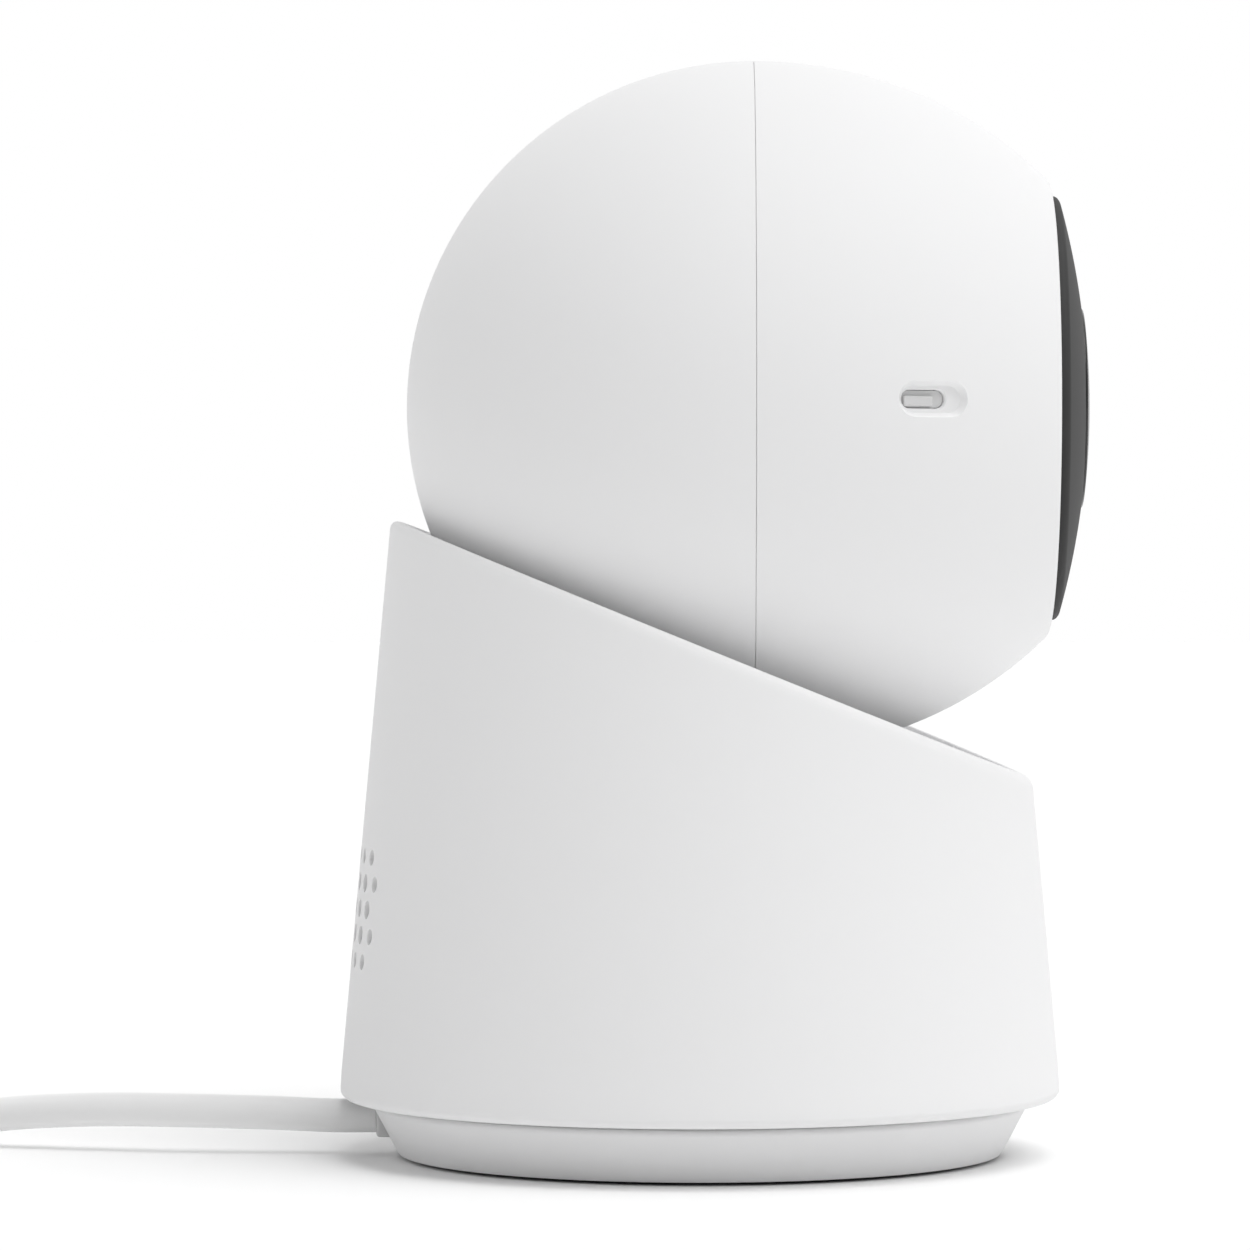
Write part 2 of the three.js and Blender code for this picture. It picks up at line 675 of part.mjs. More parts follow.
/** Two cheeks with bearing eyes, joined by a back and a front plate. */
function chassis() {
  const inner = 7.9;
  const outer = 9.9;
  const frame = join(
    box([inner, -7, -27], [outer, 16.5, 11]),
    box([-outer, -7, -27], [-inner, 16.5, 11]),
    box([-outer, -6, -27], [outer, 14, -25.2]),
    box([-outer, -7, 9.2], [outer, 7, 11]));
  const bore = alongX(rod(4.3, -20, 20, 0, 0, SMALL_ROUND));
  const shaft = alongX(rod(1.6, 5, 12)).translate(0, ...tiltPinionPlace());
  const holes = [-6, 6].map((x) => rod(1.1, -28, -24, x, 8));
  return cut(frame, bore, shaft, ...holes);
}

/** Height and forward place of the tilt pinion in the head's frame. */
function tiltPinionPlace() {
  return [TILT_REACH * Math.sin(TILT_MESH), -TILT_REACH * Math.cos(TILT_MESH)];
}

/** Geared tilt motor with its shaft pointing to the middle. */
function tiltMotor() {
  return alongX(join(rod(6, 10.2, 22, 0, 0, SMALL_ROUND), rod(1.2, 5.6, 10.5)))
    .translate(0, ...tiltPinionPlace());
}

/** Square lens holder with its tube. */
function lensHolder() {
  const base = box([-10, -10, 13.5], [10, 10, 15.2]);
  return cut(join(base, rod(8, 13.5, 24, 0, 0, SMALL_ROUND)), rod(6.4, 13, 25, 0, 0, SMALL_ROUND));
}

place(head, 'head_rear_shell', rearShell(), WHITE);
place(head, 'head_front_shell', frontShell(), WHITE);
place(head, 'front_bezel', bezel(), SATIN_BLACK);
place(head, 'lens_window', lensWindow(), GLOSS_BLACK);
place(head, 'front_lens', turned([
  [0, 30.5], [7.7, 30.5], [7.7, 32.2], [6.5, 33.1], [4.6, 33.9], [2.4, 34.3], [0, 34.5],
], SMALL_ROUND), GLASS);
place(head, 'lens_barrel', turned([
  [4.6, 16.5], [6.1, 16.5], [6.1, 24.4], [9.2, 24.4], [9.2, 33.2], [8, 33.2], [8, 30.2], [4.6, 30.2],
  [4.6, 16.5],
], SMALL_ROUND), SATIN_BLACK);
place(head, 'lens_holder', lensHolder(), SATIN_BLACK);
place(head, 'sensor_board', join(
  box([-14, -12, 12], [14, 12, 13.2]), box([-4.2, -3.6, 13.1], [4.2, 3.6, 14.4])), BOARD);
place(head, 'night_light_board', ring(9.8, 20.5, 28.6, 29.8, SMALL_ROUND), BOARD);
for (let i = 0; i < LAMP_COUNT; i += 1) {
  const spot = around(LAMP_CIRCLE, (360 * i) / LAMP_COUNT);
  place(head, `night_lamp_${i + 1}`, rod(1.6, 30.1, 32, ...spot, TINY_ROUND), LAMP);
}
place(head, 'light_sensor', rod(1.3, 30.1, 31.4, ...around(13, 30)), LAMP);
place(head, 'mic_boot', atPort(raised(obround(4.8, 1.7), -2.6, -1.2).translate(-1.05, 0, 0)), RUBBER);
place(head, 'microphone', atPort(box([-3.2, -1.5, -4.4], [1.2, 1.5, -2.9])), STEEL);
place(head, 'head_chassis', chassis(), SATIN_BLACK);
[-6, 6].forEach((x, i) => {
  const piece = screw(1.9, 0.7, 0.8, 7).rotateX(Math.PI).translate(x, 8, -24.2);
  place(head, `chassis_screw_${i + 1}`, piece, STEEL);
});
[['tilt_bush_left', -10.2], ['tilt_bush_right', 7.6]].forEach(([name, low]) => {
  place(head, name, alongX(ring(AXLE_R + GAP, 4, low, low + 2.6, SMALL_ROUND)), CREAM);
});
place(head, 'tilt_motor', tiltMotor(), STEEL);
const pinionOutline = toothedOutline(PINION_TEETH, TILT_MODULE, Math.PI / 2 + TILT_MESH, false, 1.5);
place(head, 'tilt_pinion', alongX(raised(pinionOutline, 5.5, 7.1)).translate(0, ...tiltPinionPlace()), BRASS);
place(head, 'reset_button', aimed(join(
  rod(1.6, buttonReach() - 3.2, buttonReach() - 0.3),
  rod(2.6, buttonReach() - 3.2, buttonReach() - 2.4))), RUBBER);

// ---------------------------------------------------------------- lead

const COIL_X = LEAD_SHIFT - (COIL_R + TURN_PITCH);
const TAIL_X = LEAD_SHIFT + TURN_PITCH;
const PLUG_START = 155.3;
const PLUG_Z = 3.6;

/** A round cord along a list of points. */
function cordAlong(points, steps) {
  const section = new THREE.Shape();
  const sides = 8;
  for (let i = 0; i < sides; i += 1) {
    const angle = (2 * Math.PI * i) / sides;
    const corner = [(CORD_D / 2) * Math.cos(angle), (CORD_D / 2) * Math.sin(angle)];
    if (i === 0) section.moveTo(...corner);
    else section.lineTo(...corner);
  }
  section.closePath();
  const extrudePath = new THREE.CatmullRomCurve3(points.map((point) => new THREE.Vector3(...point)));
  return closed(new THREE.ExtrudeGeometry(section, { steps, extrudePath, bevelEnabled: false }));
}

/** A rectangle with round corners. */
function roundedRectangle(width, height, radius) {
  const shape = new THREE.Shape();
  const x = width / 2 - radius;
  const y = height / 2 - radius;
  shape.absarc(x, y, radius, 0, Math.PI / 2, false);
  shape.absarc(-x, y, radius, Math.PI / 2, Math.PI, false);
  shape.absarc(-x, -y, radius, Math.PI, Math.PI * 1.5, false);
  shape.absarc(x, -y, radius, Math.PI * 1.5, Math.PI * 2, false);
  return shape;
}

/** Moulded grip of the plug with its tapered relief. */
function plugBody() {
  const relief = turned([[0, 0], [2.2, 0], [3, 5.5], [0, 5.5]], TINY_ROUND).translate(0, 0, PLUG_START);
  const grip = raised(roundedRectangle(11.5, 6.8, 1.8), PLUG_START + 5, 175, 4);
  return alongY(join(relief, grip)).translate(TAIL_X, 0, PLUG_Z);
}

/** Metal mouth of the plug with its contact tongue. */
function plugShell() {
  const outside = box([-6, -2.25, 175.3], [6, 2.25, 187]);
  const inside = box([-5.6, -1.85, 177], [5.6, 1.85, 188]);
  const tongue = box([-5, 0.1, 176.5], [5, 1.3, 186]);
  return alongY(join(cut(outside, inside), tongue)).translate(TAIL_X, 0, PLUG_Z);
}

place(lead, 'power_cord', cordAlong([
  [0, CORD_EXIT_Y, CORD_Z], [0, 40, 4.2], [0, 46, 4.45], [0.3, 52, 4.6], [1.2, 58, 4.65], [2.7, 64, 4.6],
  [4.6, 70, 4.3], [6.6, 76, 3.8], [8.5, 82, 3], [10.2, 88, 2.2],
], 10), WHITE);
place(lead, 'cord_coil', ring(
  COIL_R - 1.5 * TURN_PITCH, COIL_R + 2.5 * TURN_PITCH,
  0, COIL_LAYERS * TURN_PITCH, SMALL_ROUND * 2).translate(COIL_X, COIL_Y, 0), WHITE);
place(lead, 'cord_tail', cordAlong([
  [TAIL_X, 128, 4.3], [TAIL_X, 134, 3.7], [TAIL_X, 140, 3.3], [TAIL_X, 146, 3.3], [TAIL_X, 151, 3.5],
  [TAIL_X, 155, PLUG_Z],
], 6), WHITE);
place(lead, 'plug_body', plugBody(), WHITE);
place(lead, 'plug_shell', plugShell(), STEEL);

camera.updateMatrixWorld(true);

export default camera;
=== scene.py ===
"""Pan-and-tilt indoor camera: the looks of every piece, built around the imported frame, in metres."""

import json
import logging
import math
from collections.abc import Iterable, Sequence
from dataclasses import dataclass, field
from enum import Enum

import bmesh
import bpy
from mathutils import Matrix, Vector


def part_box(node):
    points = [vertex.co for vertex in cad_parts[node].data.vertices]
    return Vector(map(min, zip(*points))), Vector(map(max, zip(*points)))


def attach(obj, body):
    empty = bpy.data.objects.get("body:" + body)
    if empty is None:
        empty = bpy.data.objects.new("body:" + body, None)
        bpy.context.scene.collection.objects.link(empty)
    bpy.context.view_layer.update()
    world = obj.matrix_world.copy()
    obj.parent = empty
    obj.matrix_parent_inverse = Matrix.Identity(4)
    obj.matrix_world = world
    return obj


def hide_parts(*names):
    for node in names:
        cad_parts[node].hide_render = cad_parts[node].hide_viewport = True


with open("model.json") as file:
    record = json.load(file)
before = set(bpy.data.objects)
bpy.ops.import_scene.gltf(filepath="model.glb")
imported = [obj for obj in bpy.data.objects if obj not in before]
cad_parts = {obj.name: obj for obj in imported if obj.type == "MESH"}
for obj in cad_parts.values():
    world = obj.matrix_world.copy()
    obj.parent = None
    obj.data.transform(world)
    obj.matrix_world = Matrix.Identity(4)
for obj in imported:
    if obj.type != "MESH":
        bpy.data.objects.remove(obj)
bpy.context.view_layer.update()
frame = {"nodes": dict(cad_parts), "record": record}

LOG = logging.getLogger("camera")
MM = 0.001
Point = tuple[float, float, float]
Profile = list[tuple[float, float]]


# ---------------------------------------------------------------- shader tools


class Link:
    """A shader socket that can be used in a Python expression."""

    def __init__(self, shader: "Shader", socket: bpy.types.NodeSocket) -> None:
        """Keep the socket and the shader it belongs to."""
        self.shader = shader
        self.socket = socket

    def math(self, operation: str, other: "Link | float", swap: bool = False) -> "Link":
        """Join this value and another with a Math node.

        Args:
            operation: the Math node's operation.
            other: the second value.
            swap: put the other value first.

        Returns:
            The node's value.
        """
        values = {0: other, 1: self} if swap else {0: self, 1: other}
        return self.shader.add("ShaderNodeMath", {"operation": operation}, values)

    def __add__(self, other: "Link | float") -> "Link":
        """Sum."""
        return self.math("ADD", other)

    def __radd__(self, other: float) -> "Link":
        """Sum with the number first."""
        return self.math("ADD", other, swap=True)

    def __sub__(self, other: "Link | float") -> "Link":
        """Difference."""
        return self.math("SUBTRACT", other)

    def __rsub__(self, other: float) -> "Link":
        """Difference with the number first."""
        return self.math("SUBTRACT", other, swap=True)

    def __mul__(self, other: "Link | float") -> "Link":
        """Product."""
        return self.math("MULTIPLY", other)

    def __rmul__(self, other: float) -> "Link":
        """Product with the number first."""
        return self.math("MULTIPLY", other, swap=True)


class Shader:
    """A new material with a Principled shader and short ways to add nodes."""

    def __init__(self, name: str) -> None:
        """Make the material and keep its nodes.

        Args:
            name: the material's name.
        """
        self.material = bpy.data.materials.new(name)
        self.material.use_nodes = True
        self.tree = self.material.node_tree
        self.body = next(n for n in self.tree.nodes if n.type == "BSDF_PRINCIPLED")

    def add(self, kind: str, settings: dict | None = None, values: dict | None = None,
            output: int | str = 0) -> Link:
        """Add one node.

        Args:
            kind: the node's type.
            settings: attributes set before the sockets; "stops" fills a colour ramp.
            values: socket name or number to a number, a colour or a link.
            output: which of the node's outputs is returned.

        Returns:
            The chosen output.
        """
        node = self.tree.nodes.new(kind)
        for key, value in (settings or {}).items():
            if key == "stops":
                ramp = node.color_ramp
                for element, (place, colour) in zip(ramp.elements, value):
                    element.position = place
                    element.color = (*colour, 1.0)
            else:
                setattr(node, key, value)
        for key, value in (values or {}).items():
            self.feed(node.inputs[key], value)
        return Link(self, node.outputs[output])

    def feed(self, socket: bpy.types.NodeSocket, value: "Link | float | Sequence[float]") -> None:
        """Set a socket to a number, or join a link to it.

        Args:
            socket: the input socket.
            value: a number, a colour or a link.
        """
        if isinstance(value, Link):
            self.tree.links.new(value.socket, socket)
        else:
            socket.default_value = value

    def set(self, **sockets: "Link | float | Sequence[float]") -> "Shader":
        """Set sockets of the Principled shader, with _ for a space in their names."""
        for key, value in sockets.items():
            self.feed(self.body.inputs[key.replace("_", " ")], value)
        return self

    def place(self, scale: Point = (1.0, 1.0, 1.0), centre: Point = (0.0, 0.0, 0.0)) -> Link:
        """Object coordinates, moved and scaled by a Mapping node.

        Args:
            scale: stretch along each axis.
            centre: the point that becomes the origin.

        Returns:
            The mapped coordinates.
        """
        where = self.add("ShaderNodeTexCoord", output="Object")
        values = {"Vector": where, "Scale": scale, "Location": [-c * s for c, s in zip(centre, scale)]}
        return self.add("ShaderNodeMapping", {}, values)

    def noise(self, scale: float, detail: float = 2.0, where: Link | None = None) -> Link:
        """Noise between 0 and 1 on object coordinates.

        Args:
            scale: how fine it is.
            detail: how many finer layers it has.
            where: its coordinates, if not plain object coordinates.

        Returns:
            The noise's value.
        """
        values = {"Vector": where or self.place(), "Scale": scale, "Detail": detail}
        return self.add("ShaderNodeTexNoise", {}, values)

    def mix(self, factor: Link, low: Sequence[float], high: Sequence[float]) -> Link:
        """Blend two colours.

        Args:
            factor: 0 for the low colour, 1 for the high one.
            low: the first colour.
            high: the second colour.

        Returns:
            The blended colour.
        """
        values = {0: factor, 6: (*low, 1.0), 7: (*high, 1.0)}
        return self.add("ShaderNodeMix", {"data_type": "RGBA"}, values, output=2)

    def bump(self, height: Link, distance: float, strength: float = 1.0) -> Link:
        """Turn a height into a normal.

        Args:
            height: the height, from 0 to 1.
            distance: how deep a full step is, in metres.
            strength: share of the effect.

        Returns:
            The normal.
        """
        values = {"Height": height, "Distance": distance, "Strength": strength}
        return self.add("ShaderNodeBump", {}, values, output="Normal")


# ---------------------------------------------------------------- finishes


@dataclass(frozen=True)
class Moulded:
    """Moulded plastic or rubber with a fine spark-eroded grain and slight handling marks."""

    name: str
    colour: Point
    roughness: float
    spread: float = 0.04
    grain: float = 5200.0
    depth: float = 0.006 * MM
    coat: float = 0.0
    shade: float = 0.03
    specular: float = 0.5

    def material(self) -> bpy.types.Material:
        """Build the material."""
        shader = Shader(self.name)
        cloud = shader.noise(38.0, 3.0)
        darker = [c * (1.0 - self.shade) for c in self.colour]
        grain = shader.noise(self.grain, 2.0)
        wipe = shader.noise(140.0, 4.0)
        shader.set(
            Base_Color=shader.mix(cloud, darker, self.colour),
            Roughness=(wipe - 0.5) * (2 * self.spread) + self.roughness,
            Normal=shader.bump(grain, self.depth),
            Coat_Weight=self.coat,
            Coat_Roughness=0.08,
            Specular_IOR_Level=self.specular,
        )
        return shader.material


@dataclass(frozen=True)
class BareMetal:
    """Drawn or turned metal with fine lines along one direction."""

    name: str
    colour: Point
    roughness: float
    stretch: Point = (1.0, 1.0, 14.0)

    def material(self) -> bpy.types.Material:
        """Build the material."""
        shader = Shader(self.name)
        lines = shader.noise(900.0, 3.0, shader.place(self.stretch))
        tone = [c * 0.86 for c in self.colour]
        shader.set(
            Base_Color=shader.mix(lines, tone, self.colour),
            Roughness=(lines - 0.5) * 0.2 + self.roughness,
            Normal=shader.bump(lines, 0.004 * MM),
            Metallic=1.0,
        )
        return shader.material


@dataclass(frozen=True)
class DarkWindow:
    """Smoked, polished plastic with faint wipe marks."""

    name: str
    colour: Point
    roughness: float = 0.03
    coat: float = 0.0
    specular: float = 0.06

    def material(self) -> bpy.types.Material:
        """Build the material."""
        shader = Shader(self.name)
        smear = shader.noise(220.0, 4.0)
        lighter = [c * 1.5 for c in self.colour]
        shader.set(
            Base_Color=shader.mix(smear, self.colour, lighter),
            Roughness=smear * 0.05 + self.roughness,
            Coat_Weight=self.coat,
            Coat_Roughness=0.02,
            Specular_IOR_Level=self.specular,
        )
        return shader.material


@dataclass(frozen=True)
class CircuitBoard:
    """Green solder mask with copper tracks showing through."""

    name: str
    mask: Point
    track: Point

    def material(self) -> bpy.types.Material:
        """Build the material."""
        shader = Shader(self.name)
        settings = {"distance": "CHEBYCHEV", "feature": "F1"}
        cells = shader.add("ShaderNodeTexVoronoi", settings, {"Vector": shader.place(), "Scale": 520.0})
        tracks = cells.math("GREATER_THAN", 0.42)
        shader.set(
            Base_Color=shader.mix(tracks, self.mask, self.track),
            Roughness=0.35 + tracks * 0.15,
            Normal=shader.bump(tracks, 0.02 * MM),
        )
        return shader.material


@dataclass(frozen=True)
class WovenCloth:
    """Acoustic cloth with a plain weave."""

    name: str
    colour: Point
    pitch: float = 0.45 * MM

    def material(self) -> bpy.types.Material:
        """Build the material."""
        shader = Shader(self.name)
        scale = 1.0 / self.pitch
        across = shader.add("ShaderNodeTexWave", {"bands_direction": "X"}, {
            "Vector": shader.place(), "Scale": scale / math.tau * 2.0}, output=1)
        along = shader.add("ShaderNodeTexWave", {"bands_direction": "Z"}, {
            "Vector": shader.place(), "Scale": scale / math.tau * 2.0}, output=1)
        weave = across * along
        dark = [c * 0.55 for c in self.colour]
        shader.set(
            Base_Color=shader.mix(weave, dark, self.colour),
            Roughness=0.95 - weave * 0.1,
            Normal=shader.bump(weave, 0.08 * MM),
        )
        return shader.material


class Finish(Enum):
    """Every finish on the camera, named by the record's material slot."""

    SHELL = ("shell_white", Moulded("shell_white", (0.63, 0.63, 0.63), 0.45, shade=0.012))
    INNER = ("inner_white", Moulded("inner_white", (0.66, 0.66, 0.66), 0.5))
    SATIN = ("satin_black", Moulded(
        "satin_black", (0.022, 0.022, 0.024), 0.4, depth=0.002 * MM, specular=0.16))
    WINDOW = ("window_black", DarkWindow("window_black", (0.004, 0.004, 0.005)))
    LENS = ("lens_glass", DarkWindow("lens_glass", (0.012, 0.018, 0.035), 0.01))
    DARK_RUBBER = ("rubber_dark", Moulded("rubber_dark", (0.035, 0.035, 0.037), 0.8, grain=2600.0))
    LIGHT_RUBBER = ("rubber_light", Moulded("rubber_light", (0.62, 0.62, 0.62), 0.6, grain=2600.0))
    BEARING = ("gear_plastic", Moulded("gear_plastic", (0.60, 0.55, 0.44), 0.45))
    STEEL = ("steel", BareMetal("steel", (0.55, 0.55, 0.56), 0.3))
    CAN = ("motor_can", BareMetal("motor_can", (0.42, 0.43, 0.45), 0.38, (1.0, 1.0, 5.0)))
    BRASS = ("brass", BareMetal("brass", (0.60, 0.43, 0.16), 0.3))
    ALUMINIUM = ("aluminium", BareMetal("aluminium", (0.68, 0.69, 0.70), 0.36))
    BOARD = ("circuit_board", CircuitBoard("circuit_board", (0.012, 0.10, 0.035), (0.03, 0.19, 0.06)))
    PAPER = ("cone_paper", Moulded("cone_paper", (0.025, 0.025, 0.027), 0.9, grain=1600.0, depth=0.03 * MM))
    CLOTH = ("speaker_cloth", WovenCloth("speaker_cloth", (0.13, 0.13, 0.135)))
    LAMP = ("lamp_clear", DarkWindow("lamp_clear", (0.45, 0.45, 0.5)))
    LEAD = ("lead_white", Moulded("lead_white", (0.86, 0.86, 0.86), 0.45, grain=2400.0, shade=0.02))

    @property
    def slot(self) -> str:
        """The record's material slot."""
        return self.value[0]

    def material(self) -> bpy.types.Material:
        """The finish's material, made once."""
        return bpy.data.materials.get(self.slot) or self.value[1].material()


# ---------------------------------------------------------------- mesh tools


def outline(points: Iterable[tuple[float, float]]) -> Profile:
    """Turn [radius, height] points in millimetres into metres.

    Args:
        points: the points, in millimetres.

    Returns:
        The same points, in metres.
    """
    return [(r * MM, z * MM) for r, z in points]


def arc(centre: tuple[float, float], radii: tuple[float, float], start: float, end: float,
        steps: int) -> list[tuple[float, float]]:
    """Points of an arc of a circle or an ellipse.

    Args:
        centre: its middle, as radius and height.
        radii: its half axes along radius and height.
        start: first angle, in degrees.
        end: last angle, in degrees.
        steps: how many pieces the arc has.

    Returns:
        The points, both ends included.
    """
    angles = [math.radians(start + (end - start) * i / steps) for i in range(steps + 1)]
    return [(centre[0] + radii[0] * math.cos(a), centre[1] + radii[1] * math.sin(a)) for a in angles]


def turned(profile: Profile, steps: int = 192, loop: bool = True) -> bmesh.types.BMesh:
    """Spin an outline about Z into a closed solid.

    Args:
        profile: [radius, height] points in metres.
        steps: sides of the turned shape.
        loop: join the last point to the first; an outline that ends on the axis isn't a loop.

    Returns:
        The solid, with merged seams and faces outward.
    """
    mesh = bmesh.new()
    verts = [mesh.verts.new((r, 0.0, z)) for r, z in profile]
    pairs = list(zip(verts, verts[1:])) + ([(verts[-1], verts[0])] if loop else [])
    edges = [mesh.edges.new(pair) for pair in pairs]
    bmesh.ops.spin(mesh, geom=verts + edges, cent=(0, 0, 0), axis=(0, 0, 1), angle=math.tau,
                   steps=steps, use_merge=True, use_duplicate=False)
    return tidy(mesh)


def tidy(mesh: bmesh.types.BMesh) -> bmesh.types.BMesh:
    """Merge doubled points and turn the faces outward.

    Args:
        mesh: the mesh, changed in place.

    Returns:
        The same mesh.
    """
    bmesh.ops.remove_doubles(mesh, verts=mesh.verts[:], dist=1e-7)
    bmesh.ops.dissolve_degenerate(mesh, edges=mesh.edges[:], dist=1e-8)
    bmesh.ops.recalc_face_normals(mesh, faces=mesh.faces[:])
    return mesh


def block(low: Point, high: Point, bevel: float = 0.0, segments: int = 3) -> bmesh.types.BMesh:
    """A box between two corners, in millimetres, with rounded edges.

    Args:
        low: the lowest corner.
        high: the highest corner.
        bevel: radius of the rounded edges, or 0 for sharp ones.
        segments: pieces in each rounding.

    Returns:
        The closed solid.
    """
    mesh = bmesh.new()
    bmesh.ops.create_cube(mesh, size=1.0)
    size = [(b - a) * MM for a, b in zip(low, high)]
    middle = [(b + a) / 2 * MM for a, b in zip(low, high)]
    bmesh.ops.scale(mesh, vec=size, verts=mesh.verts[:])
    bmesh.ops.translate(mesh, vec=middle, verts=mesh.verts[:])
    if bevel:
        bmesh.ops.bevel(mesh, geom=mesh.edges[:], offset=bevel * MM, offset_type="OFFSET",
                        segments=segments, profile=0.5, affect="EDGES", material=-1)
    return tidy(mesh)


def rod(radius: float, low: float, high: float, sides: int = 32) -> bmesh.types.BMesh:
    """A round rod along Z, in millimetres.

    Args:
        radius: its radius.
        low: height of its lower end.
        high: height of its upper end.
        sides: how many sides it has.

    Returns:
        The closed solid.
    """
    mesh = bmesh.new()
    bmesh.ops.create_cone(mesh, cap_ends=True, segments=sides, radius1=radius * MM,
                          radius2=radius * MM, depth=(high - low) * MM)
    bmesh.ops.translate(mesh, vec=(0, 0, (high + low) / 2 * MM), verts=mesh.verts[:])
    return mesh


def obround(layers: Sequence[tuple[float, float, float]], sides: int = 16) -> bmesh.types.BMesh:
    """A bar with round ends, stacked along Z.

    Args:
        layers: length, width and height of each outline, in millimetres, lowest first.
        sides: pieces in each round end.

    Returns:
        The closed solid, its length along X.
    """
    mesh = bmesh.new()
    rings = []
    for length, width, height in layers:
        half = (length - width) / 2
        right = arc((half, 0), (width / 2, width / 2), -90, 90, sides)
        left = arc((-half, 0), (width / 2, width / 2), 90, 270, sides)
        rings.append([mesh.verts.new((x * MM, y * MM, height * MM)) for x, y in right + left])
    for ring in rings:
        for pair in zip(ring, ring[1:] + ring[:1]):
            mesh.edges.new(pair)
    loops = [[mesh.edges.get(pair) for pair in zip(r, r[1:] + r[:1])] for r in rings]
    for low, high in zip(loops, loops[1:]):
        bmesh.ops.bridge_loops(mesh, edges=low + high)
    for loop in (loops[0], loops[-1]):
        bmesh.ops.holes_fill(mesh, edges=loop)
    return tidy(mesh)


def to_object(mesh: bmesh.types.BMesh, name: str) -> bpy.types.Object:
    """Store a bmesh as a scene object.

    Args:
        mesh: the mesh, freed here.
        name: the name of the object and its data.

    Returns:
        The object, linked to the scene.
    """
    data = bpy.data.meshes.new(name)
    mesh.to_mesh(data)
    mesh.free()
    obj = bpy.data.objects.new(name, data)
    bpy.context.scene.collection.objects.link(obj)
    return obj


def move(mesh: bmesh.types.BMesh, matrix: Matrix) -> bmesh.types.BMesh:
    """Put a bmesh in its place.

    Args:
        mesh: the mesh, changed in place.
        matrix: where it goes, in metres.

    Returns:
        The same mesh.
    """
    bmesh.ops.transform(mesh, matrix=matrix, verts=mesh.verts[:])
    return mesh


def combine(base: bmesh.types.BMesh, tools: Sequence[bmesh.types.BMesh],
            operation: str = "DIFFERENCE") -> bmesh.types.BMesh:
    """Cut tools out of a solid, or join them to it.

    Args:
        base: the solid.
        tools: the closed solids to cut or join.
        operation: the Boolean modifier's operation.

    Returns:
        The new solid.
    """
    main = to_object(base, "base")
    helpers = [to_object(tool, "tool") for tool in tools]
    for helper in helpers:
        step = main.modifiers.new("cut", "BOOLEAN")
        step.operation = operation
        step.solver = "EXACT"
        step.object = helper
    mesh = bmesh.new()
    mesh.from_object(main, bpy.context.evaluated_depsgraph_get())
    for obj in [main, *helpers]:
        data = obj.data
        bpy.data.objects.remove(obj)
        bpy.data.meshes.remove(data)
    bmesh.ops.remove_doubles(mesh, verts=mesh.verts[:], dist=1e-7)
    return mesh


@dataclass
class Piece:
    """One visible piece: its mesh, the body it rides on and the finish it wears."""

    name: str
    body: str
    finish: Finish
    stands_for: tuple[str, ...] = ()
    sharp: float = 32.0

    def make(self, mesh: bmesh.types.BMesh) -> bpy.types.Object:
        """Store the mesh, shade it smooth up to the sharp angle and dress it.

        Args:
            mesh: the closed solid, in place.

        Returns:
            The finished object.
        """
        obj = to_object(mesh, self.name)
        obj.data.polygons.foreach_set("use_smooth", [True] * len(obj.data.polygons))
        obj.data.set_sharp_from_angle(angle=math.radians(self.sharp))
        obj.data.materials.append(self.finish.material())
        return self.declare(obj)

    def declare(self, obj: bpy.types.Object) -> bpy.types.Object:
        """Hang the object on its body's empty, hide the frame parts it stands for and log its finish.

        Args:
            obj: the finished object.

        Returns:
            The same object.
        """
        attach(obj, self.body)
        self.finish.slot
        if self.stands_for:
            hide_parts(*self.stands_for)
        LOG.info("%s on %s, %s", self.name, self.body, self.finish.slot)
        return obj


# ---------------------------------------------------------------- shared places


@dataclass(frozen=True)
class Layout:
    """Sizes that several sub-assemblies share, in millimetres, and the head's place."""

    head_r: float = 37.8
    nose: float = 42.6
    wall: float = 1.8
    body_r: float = 39.03
    body_z: float = 10.26
    taper: float = 0.0894
    rim_z: float = 55.85
    rim_slope: float = 0.405
    head_at: Point = (0.0, -5.8, 81.5)

    def radius_at(self, z: float) -> float:
        """Outer radius of the tapered body at a height.

        Args:
            z: the height, in millimetres.

        Returns:
            The radius, in millimetres.
        """
        return self.body_r - self.taper * (z - self.body_z)

    def head_place(self) -> Matrix:
        """Place of the head's own frame: X to the side, Y up, Z forward."""
        return Matrix.Translation(Vector(self.head_at) * MM) @ Matrix.Rotation(math.pi / 2, 4, "X")

    def rim_plane(self, depth: float = 0.0) -> tuple[Vector, Vector]:
        """A point on the slanted rim plane, moved down by a depth, and its normal.

        Args:
            depth: millimetres below the rim.

        Returns:
            The point, in metres, and the normal.
        """
        normal = Vector((0.0, -self.rim_slope, 1.0)).normalized()
        return Vector((0.0, 0.0, (self.rim_z - depth) * MM)), normal


LAYOUT = Layout()


# ---------------------------------------------------------------- camera, floor and lights


